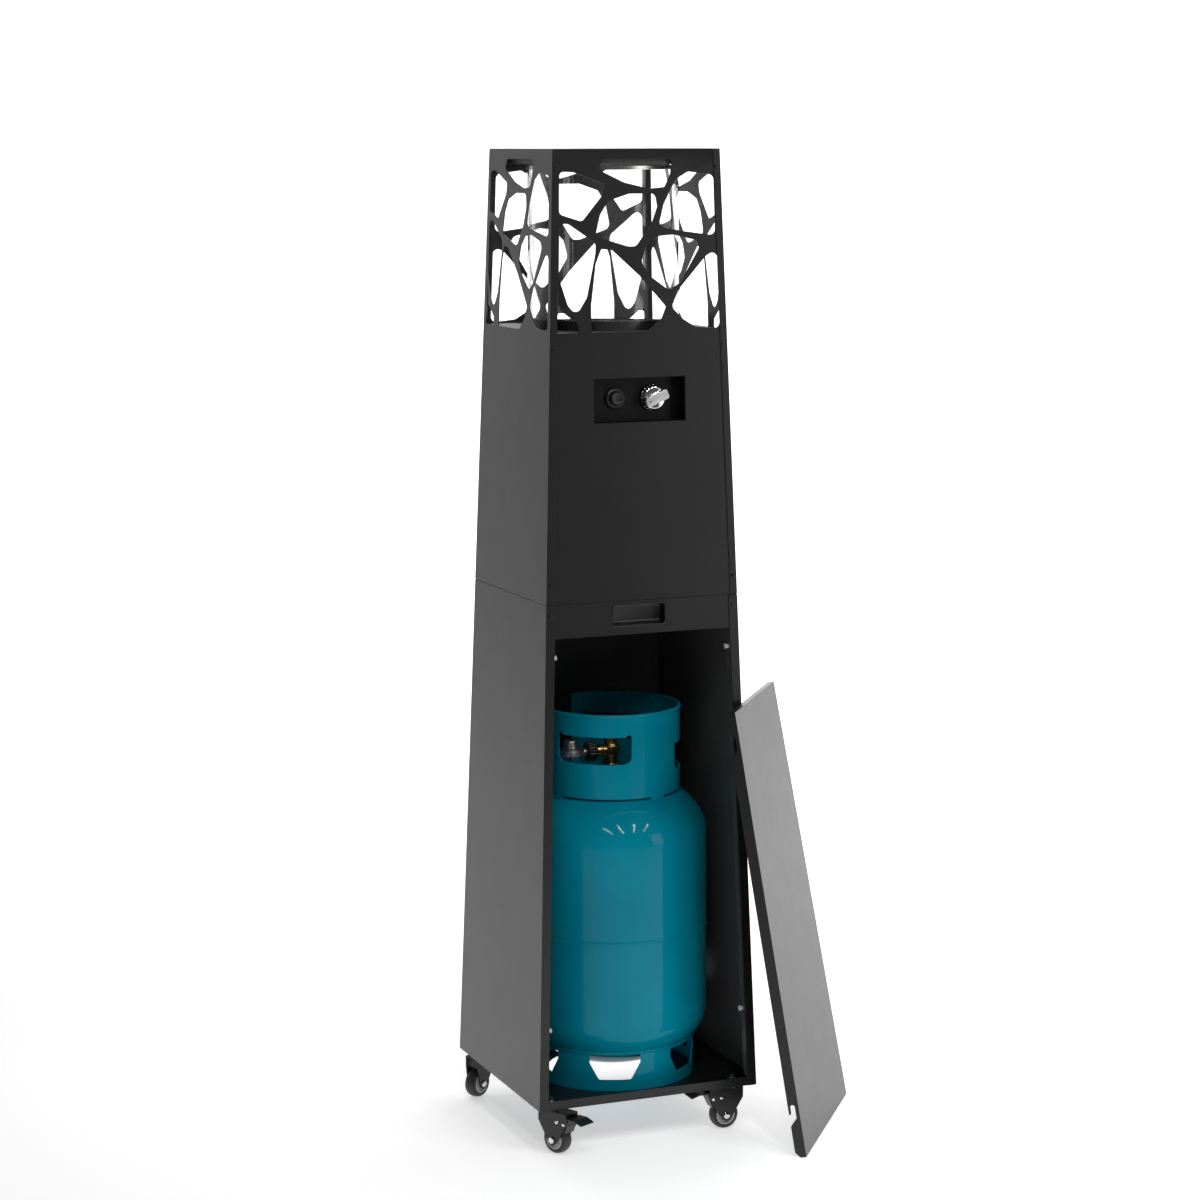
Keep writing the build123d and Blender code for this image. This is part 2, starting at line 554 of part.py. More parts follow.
def door():
    """Folded door: a tapered face with flanges inwards, and a hook slot near each end of both side flanges."""
    slope = (DOOR_BOTTOM - DOOR_TOP) / 2 / DOOR_LENGTH

    def half_width(z):
        return DOOR_BOTTOM / 2 - slope * z

    b, t = half_width(0), half_width(DOOR_LENGTH)
    face = make_face(Polyline((-b, 0), (b, 0), (t, DOOR_LENGTH), (-t, DOOR_LENGTH), close=True))
    sheet = Rot(90, 0, 0) * extrude(face, -DOOR_FLANGE)
    inner = make_face(Polyline((-b + SHEET, SHEET), (b - SHEET, SHEET), (t - SHEET, DOOR_LENGTH - SHEET),
                               (-t + SHEET, DOOR_LENGTH - SHEET), close=True))
    shell = sheet - Rot(90, 0, 0) * Pos(0, 0, -SHEET) * extrude(inner, -DOOR_FLANGE)
    shell -= block((-b + SHEET, b - SHEET), (DOOR_TOE, DOOR_FLANGE + 1), (-1, SHEET * 2))
    top = (DOOR_LENGTH - SHEET * 2, DOOR_LENGTH + 1)
    shell -= block((-t + SHEET, t - SHEET), (DOOR_BROW, DOOR_FLANGE + 1), top)

    toe = make_face(Polyline((DOOR_TOE, -1), (DOOR_FLANGE + 1, -1), (DOOR_FLANGE + 1, DOOR_TOE + 1), close=True))
    brow = make_face(Polyline((DOOR_FLANGE - 6, DOOR_LENGTH + 1), (DOOR_FLANGE + 1, DOOR_LENGTH + 1),
                              (DOOR_FLANGE + 1, DOOR_LENGTH - 6), close=True))
    slots = []
    for z in (DOOR_HOOK, DOOR_HOOK + PIN_PITCH):
        seat_y, r = 9.0, PIN_R + 0.5
        slot = make_face(Polyline((seat_y - r, z - r), (seat_y + r, z - r), (seat_y + r, z - 13),
                                  (DOOR_FLANGE + 2, z - 13 - r), (DOOR_FLANGE + 2, z - 34), (seat_y - r, z - 20),
                                  close=True))
        slots.append(slot + Pos(seat_y, z - r) * Circle(r))
    edges = b + 2
    for profile in [toe, brow] + slots:
        shell -= side_cut(profile, edges)
    add("door_panel", door_place() * shell)


def side_cut(profile, reach):
    """A profile in (inwards, up) pushed through both side flanges of the door."""
    return extrude(Plane.YZ * profile, reach, both=True)


# ---- casters ------------------------------------------------------------------------------------------------


def plan_hull(*shapes):
    """The flat outline round several flat shapes."""
    return make_hull([e for s in shapes for e in s.edges()])


def caster(name, corner):
    """One swivel caster, made with its stem at the origin and its trail along +X, then turned and placed."""
    braked = name.startswith("front")
    place = Pos(corner[0] * STEM_XY, corner[1] * STEM_XY, 0) * Rot(0, 0, HEADINGS[name])

    boss, crown_low, crown_high = 8.5, -6.9, -4.3
    reach = 42.0 if braked else 26.0
    leg = plan_hull(Pos(TRAIL, AXLE_Z) * Circle(boss), Pos((reach - 13) / 2, -15) * Rectangle(reach + 13, 12))
    leg += Pos((reach - 13) / 2, (-15 + crown_high) / 2) * Rectangle(reach + 13, crown_high + 15)
    side = Rot(90, 0, 0) * extrude(leg, FORK_OUT, both=True)
    side -= block((-40, 70), (-FORK_IN, FORK_IN), (-80, crown_low))
    roof = Circle(14) + Pos(28, 0) * Rectangle(56, 2 * FORK_OUT)
    nose = extrude(Pos(0, 0, crown_low) * roof, crown_high - crown_low)
    side &= extrude(Pos(0, 0, -90) * (Pos(30, 0) * Rectangle(86, 2 * FORK_OUT)), 100)
    fork = side + (nose & block((-20, reach), (-20, 20), (-20, 0)))
    fork -= rod(KINGPIN_R + RUNNING_GAP, -20, 0)
    fork -= rod(AXLE_R, -20, 20, "Y", (TRAIL, AXLE_Z))
    pivot_x, pivot_z = 36.0, -20.0
    if braked:
        fork -= rod(2.5, -20, 20, "Y", (pivot_x, pivot_z))
    add(f"caster_fork_{name}", place * fork)

    tyre = rod(WHEEL_R, -TYRE_HALF, TYRE_HALF, "Y", (TRAIL, AXLE_Z))
    tyre = fillet(tyre.edges(), 5.0) - rod(15.0, -20, 20, "Y", (TRAIL, AXLE_Z))
    add(f"caster_tyre_{name}", place * tyre)
    hub = rod(15.0, -TYRE_HALF, TYRE_HALF, "Y", (TRAIL, AXLE_Z))
    for s in (-1, 1):
        hub -= rod(12.5, s * TYRE_HALF - 2, s * TYRE_HALF + 2, "Y", (TRAIL, AXLE_Z))
    hub += rod(7.0, -HUB_HALF, HUB_HALF, "Y", (TRAIL, AXLE_Z))
    hub -= rod(AXLE_R + RUNNING_GAP, -20, 20, "Y", (TRAIL, AXLE_Z))
    add(f"caster_hub_{name}", place * hub)

    axle = rod(AXLE_R, -FORK_OUT, FORK_OUT, "Y", (TRAIL, AXLE_Z))
    head = rod(5.0, FORK_OUT, FORK_OUT + 2.6, "Y", (TRAIL, AXLE_Z))
    head = fillet(head.edges().group_by(Axis.Y)[-1], 1.6)
    nut = Pos(TRAIL, -FORK_OUT, AXLE_Z) * Rot(90, 0, 0) * extrude(RegularPolygon(5.4, 6), 3.0)
    add(f"caster_axle_{name}", place * (axle + head + nut))

    if braked:
        plate = Polyline((30, -11.5), (44, -9.5), (60, -9.5), (72, -14), (72, -15.6), (59, -11.5), (44, -11.5),
                         (41, -24), (36, -35), (33.8, -33.6), (33, -22), close=True)
        lever = Rot(90, 0, 0) * extrude(make_face(plate), FORK_IN - 0.4, both=True)
        wide = Polyline((44, -9.5), (60, -9.5), (72, -14), (72, -15.6), (59, -11.5), (44, -11.5), close=True)
        lever += Rot(90, 0, 0) * extrude(make_face(wide), FORK_OUT + 1.0, both=True)
        lever += rod(2.5 - RUNNING_GAP, -FORK_OUT, FORK_OUT, "Y", (pivot_x, pivot_z))
        add(f"brake_pedal_{name}", place * lever)

    stem = rod(13.0, -4.0, 0) + rod(STEM_R, -1, 11.5) + rod(KINGPIN_R, -8.0, -3) + rod(7.0, -9.5, -7.2)
    nut = extrude(Pos(0, 0, PLATE) * RegularPolygon(8, 6), 5.5) - rod(STEM_R, 0, 20)
    at = Pos(corner[0] * STEM_XY, corner[1] * STEM_XY, 0)
    return at * stem, at * nut


# ---- build and write ----------------------------------------------------------------------------------------


def main():
    screws = cabinet() + housing()
    add("panel_screws", *screws)
    burner()
    controls()
    bottle()
    door()
    stems, nuts = zip(*[caster(name, corner) for name, corner in CORNERS.items()])
    add("caster_stems", *stems)
    add("caster_nuts", *nuts)
    os.makedirs("parts", exist_ok=True)
    for name, shape in nodes.items():
        export_step(shape, f"parts/{name}.step")
    print(len(nodes), "nodes")


main()
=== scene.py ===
"""Looks of the patio heater: materials, welds and fixings, stage, light and camera.

Everything is in metres in the part's own frame: origin at the base plate's underside, -Y the front.
"""

from math import cos, pi, radians, sin, tau

import bmesh
import bpy
from mathutils import Matrix, Vector, noise


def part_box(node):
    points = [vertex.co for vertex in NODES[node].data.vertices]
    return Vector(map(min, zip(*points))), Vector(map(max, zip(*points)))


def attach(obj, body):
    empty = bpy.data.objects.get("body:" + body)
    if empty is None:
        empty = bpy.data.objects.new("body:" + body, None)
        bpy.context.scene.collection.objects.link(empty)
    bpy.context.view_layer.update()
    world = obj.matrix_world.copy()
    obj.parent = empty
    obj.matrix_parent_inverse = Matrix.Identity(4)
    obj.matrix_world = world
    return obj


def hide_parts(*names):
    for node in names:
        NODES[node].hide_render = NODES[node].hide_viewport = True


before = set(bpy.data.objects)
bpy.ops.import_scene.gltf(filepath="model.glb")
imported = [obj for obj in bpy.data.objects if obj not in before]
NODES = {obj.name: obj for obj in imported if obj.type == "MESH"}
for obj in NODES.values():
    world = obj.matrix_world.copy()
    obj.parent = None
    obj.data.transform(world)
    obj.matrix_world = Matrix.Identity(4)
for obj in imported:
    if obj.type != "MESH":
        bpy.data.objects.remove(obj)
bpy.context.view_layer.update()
FLOOR_Z = -0.070
TOWER_TOP = 1.397
BASE_HALF, TOP_HALF = 0.175, 0.130  # the tower's half widths at z = 0 and at the lid
FRONT_INSET = 0.0012  # the front wall's face lies this far behind the flanges beside it
SKIN = 0.0009  # faces deeper in a wall than this count as indoors
BEVEL_SAMPLES = 6
MIX_FIRST, MIX_SECOND, MIX_RESULT = 6, 7, 2  # the mix node's colour sockets
OUTLET_Z = 0.497  # height of the bottle valve's side outlet
KNOB_X, KNOB_Z = 0.028, 1.0385
BUTTON_X, BUTTON_Z = -0.0305, 1.039
# the way each caster's fork points, in degrees from +X towards +Y
HEADINGS = {"front_left": -63, "front_right": 180, "back_left": -149, "back_right": 35}
BRAKED = ("front_left", "front_right")
STEM, TRAIL, AXLE_Z, WHEEL_R = 0.147, 0.014, -0.048, 0.022


# ---- materials -----------------------------------------------------------------------------------


class Surface:
    """A principled material whose colour, roughness and relief come from procedural nodes."""

    def __init__(self, name, **fixed):
        self.made = bpy.data.materials.new(name)
        self.made.use_nodes = True
        self.tree = self.made.node_tree
        self.shader = self.tree.nodes["Principled BSDF"]
        self.relief = None
        self.place = self.node("ShaderNodeTexCoord").outputs["Object"]
        for key, value in fixed.items():
            self.shader.inputs[key.replace("_", " ")].default_value = value

    def node(self, kind, links=None, **values):
        """Add a node; values are its settings, links its inputs as sockets or constants."""
        made = self.tree.nodes.new(kind)
        for key, value in values.items():
            if key in made.inputs:
                made.inputs[key].default_value = value
            else:
                setattr(made, key, value)
        for key, source in (links or {}).items():
            if isinstance(source, bpy.types.NodeSocket):
                self.tree.links.new(source, made.inputs[key])
            else:
                made.inputs[key].default_value = source
        return made

    def math(self, operation, *values):
        """Reckon with sockets or constants."""
        return self.node("ShaderNodeMath", dict(enumerate(values)), operation=operation).outputs[0]

    def join(self, source, socket):
        """Drive one of the shader's inputs."""
        self.tree.links.new(source, self.shader.inputs[socket])

    def stretched(self, scale):
        """Object coordinates scaled per axis, for grain that runs one way."""
        return self.node("ShaderNodeMapping", {"Vector": self.place}, Scale=scale).outputs["Vector"]

    def clouds(self, scale, detail=3.0, roughness=0.55, stretch=None):
        """Soft noise from 0 to 1."""
        vector = self.stretched(stretch) if stretch else self.place
        made = self.node("ShaderNodeTexNoise", {"Vector": vector}, Scale=scale, Detail=detail,
                         Roughness=roughness)
        return made.outputs["Fac"]

    def ramp(self, source, low, high, start, end):
        """Carry a value from low..high onto start..end."""
        links = {"Value": source, "From Min": low, "From Max": high, "To Min": start, "To Max": end}
        return self.node("ShaderNodeMapRange", links).outputs["Result"]

    def blend(self, factor, first, second):
        """Mix two colours; each is a colour or a socket."""
        links = {"Factor": factor}
        for key, value in ((MIX_FIRST, first), (MIX_SECOND, second)):
            links[key] = value if isinstance(value, bpy.types.NodeSocket) else (*value, 1.0)
        return self.node("ShaderNodeMix", links, data_type="RGBA").outputs[MIX_RESULT]

    def raise_by(self, height, distance, strength=1.0):
        """Add relief from a height; layers stack."""
        links = {"Height": height}
        if self.relief:
            links["Normal"] = self.relief
        made = self.node("ShaderNodeBump", links, Strength=strength, Distance=distance)
        self.relief = made.outputs["Normal"]

    def bevel(self, radius):
        """The normal that the surface would have with its edges rounded off."""
        return self.node("ShaderNodeBevel", Radius=radius, samples=BEVEL_SAMPLES).outputs["Normal"]

    def soften(self, radius):
        """Round the sharp edges of folded and cut sheet in the shading."""
        self.relief = self.bevel(radius)

    def edge_mask(self, radius):
        """0 on open faces, rising to 1 along edges."""
        normals = {0: self.bevel(radius), 1: self.node("ShaderNodeNewGeometry").outputs["Normal"]}
        dot = self.node("ShaderNodeVectorMath", normals, operation="DOT_PRODUCT")
        return self.ramp(dot.outputs["Value"], 0.98, 0.75, 0.0, 1.0)

    def finish(self):
        """The material, with its relief joined on."""
        if self.relief:
            self.join(self.relief, "Normal")
        return self.made


def scaled(colour, factor, lift=0.0):
    """A colour made lighter or darker."""
    return tuple(min(1.0, c * factor + lift) for c in colour)


def indoors(s):
    """1 on faces inside the tapered tower's walls, 0 outside: the mask for the painted light
    indoors.
    """
    axes = s.node("ShaderNodeSeparateXYZ", {"Vector": s.place}).outputs
    across_x, across_y = s.math("ABSOLUTE", axes[0]), s.math("ABSOLUTE", axes[1])
    reach = s.math("MAXIMUM", across_x, s.math("ADD", across_y, FRONT_INSET))
    wall = s.ramp(axes[2], 0.0, TOWER_TOP, BASE_HALF - SKIN, TOP_HALF - SKIN)
    return s.math("LESS_THAN", reach, wall)


def powder_coat(name, colour, roughness, inner=None, shine=0.40):
    """Fine powder coat on sheet, a little worn along its edges; inner, when given, is painted
    light: a lighter colour on faces indoors, for the shaded inside of the tower.
    """
    s = Surface(name, IOR=1.5, Specular_IOR_Level=shine)
    s.soften(0.0007)
    s.raise_by(s.clouds(900, 2, 0.5), 0.00002, 0.45)
    s.raise_by(s.clouds(60, 2, 0.5), 0.0001, 0.05)
    drift = s.ramp(s.clouds(7, 4, 0.6), 0.3, 0.7, 0, 1)
    body = s.blend(drift, scaled(colour, 0.86), scaled(colour, 1.16))
    # painted light: faces inside the tower's walls take the lighter inner colour, standing in for
    # light in the shaded inside
    if inner:
        body = s.blend(indoors(s), body, inner)
    wear = s.math("MULTIPLY", s.edge_mask(0.0012), s.ramp(s.clouds(45, 4), 0.42, 0.72, 0, 0.55))
    s.join(s.blend(wear, body, scaled(colour, 2.6, 0.012)), "Base Color")
    gloss = s.clouds(22, 5, 0.62)
    s.join(s.ramp(gloss, 0.25, 0.75, roughness - 0.015, roughness + 0.02), "Roughness")
    return s.finish()


def enamel(name, colour):
    """Gloss enamel over spun steel: deep clear top, faint orange peel and a few dull scuffs."""
    s = Surface(name, IOR=1.5, Specular_IOR_Level=0.14)
    s.soften(0.0006)
    s.raise_by(s.clouds(150, 2, 0.45), 0.0002, 0.035)
    drift = s.ramp(s.clouds(5, 3, 0.5), 0.3, 0.7, 0, 1)
    body = s.blend(drift, scaled(colour, 0.85), scaled(colour, 1.15))
    scuff = s.ramp(s.clouds(30, 6, 0.7, stretch=(1, 1, 0.3)), 0.60, 0.72, 0, 0.3)
    s.join(s.blend(scuff, body, scaled(colour, 0.82, 0.004)), "Base Color")
    s.join(s.ramp(s.clouds(26, 5, 0.65), 0.3, 0.8, 0.055, 0.085), "Roughness")
    return s.finish()


def metal(name, colour, roughness, grain=0.00002, brush=None, tint=None, spread=0.06,
          anisotropy=0.0, metallic=1.0):
    """Bare or plated metal; brush stretches its grain per axis, tint colours some patches."""
    s = Surface(name, Metallic=metallic, Anisotropic=anisotropy)
    s.soften(0.0003)
    lines = s.clouds(260, 4, 0.6, stretch=brush or (1, 1, 1))
    s.raise_by(lines, grain, 0.5)
    patch = s.ramp(s.clouds(28, 4, 0.6), 0.35, 0.7, 0, 1)
    s.join(s.blend(patch, colour, tint or scaled(colour, 0.82)), "Base Color")
    smoothest = max(0.02, roughness - spread)
    s.join(s.ramp(lines, 0.25, 0.75, smoothest, roughness + spread), "Roughness")
    return s.finish()


def moulded(name, colour, roughness, grain=0.00005):
    """Moulded plastic with a fine spark-eroded grain."""
    s = Surface(name, IOR=1.49)
    s.soften(0.0004)
    s.raise_by(s.clouds(700, 2, 0.5), grain, 0.5)
    drift = s.ramp(s.clouds(40, 3), 0.3, 0.7, 0, 1)
    s.join(s.blend(drift, scaled(colour, 0.88), scaled(colour, 1.12)), "Base Color")
    s.join(s.ramp(s.clouds(90, 4), 0.3, 0.7, roughness - 0.05, roughness + 0.06), "Roughness")
    return s.finish()


def rubber(name, colour):
    """Tyre rubber: matt, with fine dust in its tread."""
    s = Surface(name, IOR=1.52, Sheen_Weight=0.12, Sheen_Roughness=0.5)
    s.raise_by(s.clouds(500, 3, 0.6), 0.00008, 0.5)
    dust = s.ramp(s.clouds(60, 6, 0.7), 0.5, 0.75, 0, 0.35)
    s.join(s.blend(dust, colour, (0.07, 0.068, 0.063)), "Base Color")
    s.join(s.ramp(s.clouds(80, 4), 0.3, 0.7, 0.46, 0.62), "Roughness")
    return s.finish()


def heat_glass(name):
    """Clear borosilicate tube with faint smears and a little haze in patches along them."""
    s = Surface(name, IOR=1.47, Transmission_Weight=1.0)
    smear = s.clouds(14, 6, 0.7, stretch=(1, 1, 0.35))
    s.raise_by(s.clouds(9, 2, 0.4), 0.0004, 0.04)
    haze = s.ramp(smear, 0.4, 0.8, 0, 1)
    s.join(s.blend(haze, (0.995, 1.0, 0.998), (0.975, 0.985, 0.98)), "Base Color")
    s.join(s.ramp(smear, 0.5, 0.85, 0.0, 0.03), "Roughness")
    return s.finish()


def burnt_steel(name):
    """Stainless steel by the flame: straw and blue heat tints over a dark oxide."""
    s = Surface(name, Metallic=1.0)
    s.soften(0.0003)
    s.raise_by(s.clouds(400, 3, 0.6), 0.00003, 0.5)
    patch = s.ramp(s.clouds(16, 4, 0.6), 0.3, 0.7, 0, 1)
    base = s.blend(patch, (0.075, 0.075, 0.076), (0.13, 0.127, 0.122))
    blue = s.ramp(s.clouds(24, 3, 0.5), 0.55, 0.75, 0, 0.6)
    s.join(s.blend(blue, base, (0.09, 0.10, 0.13)), "Base Color")
    s.join(s.ramp(s.clouds(70, 5), 0.3, 0.7, 0.28, 0.44), "Roughness")
    return s.finish()


def sooted_steel(name):
    """Oxidised burner plate: matt, nearly black, with greyer patches where the flame scours it."""
    s = Surface(name, IOR=1.4, Specular_IOR_Level=0.03)
    s.raise_by(s.clouds(600, 3, 0.6), 0.00005, 0.5)
    patch = s.ramp(s.clouds(34, 5, 0.65), 0.35, 0.7, 0, 1)
    s.join(s.blend(patch, (0.016, 0.016, 0.017), (0.060, 0.058, 0.055)), "Base Color")
    s.join(s.ramp(s.clouds(70, 5), 0.3, 0.7, 0.62, 0.80), "Roughness")
    return s.finish()


def stained_ceramic(name):
    """Glazed insulator, browned in patches by the flame."""
    s = Surface(name, IOR=1.55, Coat_Weight=0.6, Coat_Roughness=0.08)
    stain = s.ramp(s.clouds(120, 4), 0.5, 0.8, 0, 0.5)
    s.join(s.blend(stain, (0.80, 0.77, 0.70), (0.42, 0.36, 0.28)), "Base Color")
    s.join(s.ramp(s.clouds(90, 3), 0.3, 0.7, 0.22, 0.36), "Roughness")
    return s.finish()


BLACK = (0.0090, 0.0092, 0.0097)
# painted light: a pale grey for faces inside the tower, far lighter than the black coat, standing
# in for light in its shaded inside
INDOOR_PAINTED_LIGHT = (0.075, 0.074, 0.073)
COAT = powder_coat("black_powder_coat", BLACK, 0.30, inner=INDOOR_PAINTED_LIGHT)
COAT_PLAIN = powder_coat("black_powder_coat_plain", BLACK, 0.30)
# painted shade: a darker black with less shine for the seam deck and the control recess, standing
# in for the shade in the seam groove and the recess
RECESS_PAINTED_SHADE_COAT = powder_coat("recess_coat_painted_shade", (0.0035, 0.0035, 0.0037), 0.40, shine=0.20)
# painted light: the burner deck and heat shield inside the tower are coated in the same pale grey
COAT_INSIDE_PAINTED_LIGHT = powder_coat("inside_coat_painted_light", INDOOR_PAINTED_LIGHT, 0.48)
CASTER_BLACK = powder_coat("caster_black_paint", (0.012, 0.012, 0.0125), 0.24)
TEAL = enamel("teal_enamel", (0.0005, 0.235, 0.335))
STAINLESS = metal("stainless_steel", (0.66, 0.65, 0.63), 0.24, brush=(1, 1, 14), anisotropy=0.4)
BURNT = burnt_steel("heat_tinted_steel")
SOOTED = sooted_steel("sooted_steel")
ZINC = metal("zinc_plate", (0.64, 0.65, 0.67), 0.27, tint=(0.56, 0.58, 0.62))
CHROME = metal("chrome_plate", (0.70, 0.70, 0.71), 0.07, grain=0.000003, tint=(0.74, 0.745, 0.76),
               spread=0.03)
BRUSHED_CHROME = metal("brushed_chrome", (0.72, 0.72, 0.72), 0.26, brush=(1, 6, 24), anisotropy=0.5)
SATIN_SILVER = metal("satin_silver", (0.60, 0.60, 0.60), 0.50, brush=(1, 6, 24),
                     tint=(0.54, 0.54, 0.54), metallic=0.25)
# Pale and mostly diffuse zinc for the door's hang pins; on the burner pan's rolled rim this pale
# base colour is a painted highlight, the bright line round the rim
PALE_ZINC_PAINTED_SHEEN = metal("pale_zinc_painted_sheen", (0.86, 0.86, 0.86), 0.30, metallic=0.35)
BRASS = metal("machined_brass", (0.62, 0.43, 0.17), 0.26, brush=(1, 1, 8), tint=(0.50, 0.33, 0.12))
CAST = metal("cast_zinc_alloy", (0.60, 0.60, 0.61), 0.36, grain=0.00012, tint=(0.50, 0.505, 0.52),
             spread=0.09)
COPPER = metal("copper_probe", (0.62, 0.34, 0.22), 0.30, tint=(0.42, 0.22, 0.16))
BLACK_ZINC = metal("black_zinc", (0.035, 0.035, 0.038), 0.34, tint=(0.06, 0.058, 0.055))
BLACK_PLASTIC = moulded("black_plastic", (0.012, 0.012, 0.012), 0.36)
# painted shade: darker than the other black plastic, standing in for the shade in the finger cup's
# hollow
CUP_PLASTIC_PAINTED_SHADE = moulded("cup_plastic_painted_shade", (0.004, 0.004, 0.0042), 0.34)
HUB_PLASTIC = moulded("hub_plastic", (0.46, 0.465, 0.47), 0.42, 0.00004)
RUBBER = rubber("tyre_rubber", (0.012, 0.012, 0.0125))
GLASS = heat_glass("heat_glass")
CERAMIC = stained_ceramic("glazed_ceramic")

NODE_MATERIAL = {
    "base_tray": COAT_PLAIN, "cabinet_left_panel": COAT, "cabinet_right_panel": COAT,
    "cabinet_back_panel": COAT, "front_rail": COAT, "seam_deck": RECESS_PAINTED_SHADE_COAT,
    "housing_left_panel": COAT, "housing_right_panel": COAT, "housing_front_panel": COAT,
    "housing_back_panel": COAT, "top_lid": COAT, "door_panel": COAT, "burner_deck": COAT_INSIDE_PAINTED_LIGHT,
    "heat_shield": COAT_INSIDE_PAINTED_LIGHT, "control_recess": RECESS_PAINTED_SHADE_COAT, "pull_cup": CUP_PLASTIC_PAINTED_SHADE,
    "igniter_body": BLACK_PLASTIC, "igniter_button": BLACK_PLASTIC, "tilt_switch": BLACK_PLASTIC,
    "bottle_handwheel": BLACK_PLASTIC, "union_nut": BLACK_PLASTIC, "door_hang_pins": ZINC,
    "caster_stems": ZINC, "caster_nuts": ZINC, "thermocouple": COPPER, "spindle_collar": ZINC,
    "valve_spindle": ZINC, "panel_screws": BLACK_ZINC, "burner_pan": BURNT, "burner_plate": SOOTED,
    "pilot_burner": BURNT, "burner_pipe": STAINLESS, "glass_top_ring": STAINLESS,
    "igniter_electrode": CERAMIC, "glass_tube": GLASS, "control_knob": CHROME,
    "bottle_valve": BRASS, "gas_valve": BRASS, "gas_regulator": CAST, "bottle_tank": TEAL,
    "bottle_foot_ring": TEAL, "bottle_valve_guard": TEAL,
}
for corner in HEADINGS:
    NODE_MATERIAL[f"caster_fork_{corner}"] = CASTER_BLACK
    NODE_MATERIAL[f"caster_axle_{corner}"] = ZINC
    NODE_MATERIAL[f"caster_tyre_{corner}"] = RUBBER
    NODE_MATERIAL[f"caster_hub_{corner}"] = HUB_PLASTIC
for corner in BRAKED:
    NODE_MATERIAL[f"brake_pedal_{corner}"] = CASTER_BLACK

for name, obj in NODES.items():
    obj.data.materials.clear()
    obj.data.materials.append(NODE_MATERIAL[name])
    obj.data.shade_smooth()
    obj.data.set_sharp_from_angle(angle=radians(32))


# ---- mesh helpers --------------------------------------------------------------------------------


def add_piece(name, bm, material, body, replaces=(), crease=35):
    """Turn a mesh under construction into a piece that rides on a body."""
    bmesh.ops.remove_doubles(bm, verts=bm.verts, dist=1e-6)
    bmesh.ops.recalc_face_normals(bm, faces=bm.faces)
    mesh = bpy.data.meshes.new(name)
    bm.to_mesh(mesh)
    bm.free()
    mesh.materials.append(material)
    mesh.shade_smooth()
    mesh.set_sharp_from_angle(angle=radians(crease))
    obj = bpy.data.objects.new(name, mesh)
    bpy.context.scene.collection.objects.link(obj)
    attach(obj, body)
    if replaces:
        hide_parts(*replaces)


def across(toward):
    """Two directions across an axis, and the axis itself."""
    w = Vector(toward).normalized()
    u = Vector((0, 0, 1)) if abs(w.z) < 0.9 else Vector((1, 0, 0))
    u = (u - w * u.dot(w)).normalized()
    return u, w.cross(u), w


def rounded(points, radius, steps=5, closed=False):
    """A flat line with its corners rounded off."""
    made, count = [], len(points)
    for i, point in enumerate(points):
        if not closed and i in (0, count - 1):
            made.append(tuple(point))
            continue
        corner = Vector(point)
        before, after = Vector(points[i - 1]) - corner, Vector(points[(i + 1) % count]) - corner
        reach = min(radius, 0.48 * before.length, 0.48 * after.length)
        start, end = corner + before.normalized() * reach, corner + after.normalized() * reach
        for k in range(steps + 1):
            t = k / steps
            made.append(tuple((1 - t) ** 2 * start + 2 * t * (1 - t) * corner + t * t * end))
    if closed:
        made.append(made[0])
    return made


def turn(bm, profile, at, toward, segments=96, shape=None):
    """Revolve (radius, along) points about an axis; shape(angle, radius, along) alters a radius."""
    u, v, w = across(toward)
    at = Vector(at)
    rings = []
    for r, h in profile:
        if r < 1e-6:
            rings.append([bm.verts.new(at + w * h)])
            continue
        ring = []
        for i in range(segments):
            a = tau * i / segments
            reach = shape(a, r, h) if shape else r
            ring.append(bm.verts.new(at + w * h + (u * cos(a) + v * sin(a)) * reach))
        rings.append(ring)
    skin(bm, rings, segments)


def skin(bm, rings, segments):
    """Faces between rings of vertices; a ring of one vertex is a pole."""
    for low, high in zip(rings, rings[1:]):
        for i in range(segments):
            j = (i + 1) % segments
            if len(low) == 1 and len(high) == 1:
                continue
            if len(low) == 1:
                bm.faces.new((low[0], high[i], high[j]))
            elif len(high) == 1:
                bm.faces.new((low[i], low[j], high[0]))
            else:
                bm.faces.new((low[i], low[j], high[j], high[i]))


def loft(bm, outlines):
    """A closed skin through outlines of equal length, each a list of 3-D points."""
    rings = [[bm.verts.new(p) for p in outline] for outline in outlines]
    skin(bm, rings, len(outlines[0]))
    bm.faces.new(rings[0])
    bm.faces.new(rings[-1])


def tube(bm, points, radius, sides=12, swell=None):
    """A round bar along points, closed at both ends; swell(share, angle) scales its radius."""
    points = [Vector(p) for p in points]
    last = len(points) - 1
    rings = []
    side = None
    for i, p in enumerate(points):
        ahead = (points[min(i + 1, last)] - points[max(i - 1, 0)]).normalized()
        if side is None:
            side = across(ahead)[0]
        side = (side - ahead * side.dot(ahead)).normalized()
        other = ahead.cross(side)
        ring = []
        for k in range(sides):
            a = tau * k / sides
            r = radius * (swell(i / last, a) if swell else 1.0)
            ring.append(bm.verts.new(p + (side * cos(a) + other * sin(a)) * r))
        rings.append(ring)
    skin(bm, rings, sides)
    bm.faces.new(rings[0])
    bm.faces.new(rings[-1])


def middle(node):
    """The middle of a node's box."""
    low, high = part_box(node)
    return (low + high) / 2


def prism(corner_radius, sides):
    """A shape for turn that gives it a regular polygon's flats, outside half that corner radius."""
    flat = cos(pi / sides)

    def shape(a, r, h):
        local = a % (tau / sides) - pi / sides
        return r * flat / cos(local) if r > corner_radius / 2 else r

    return shape


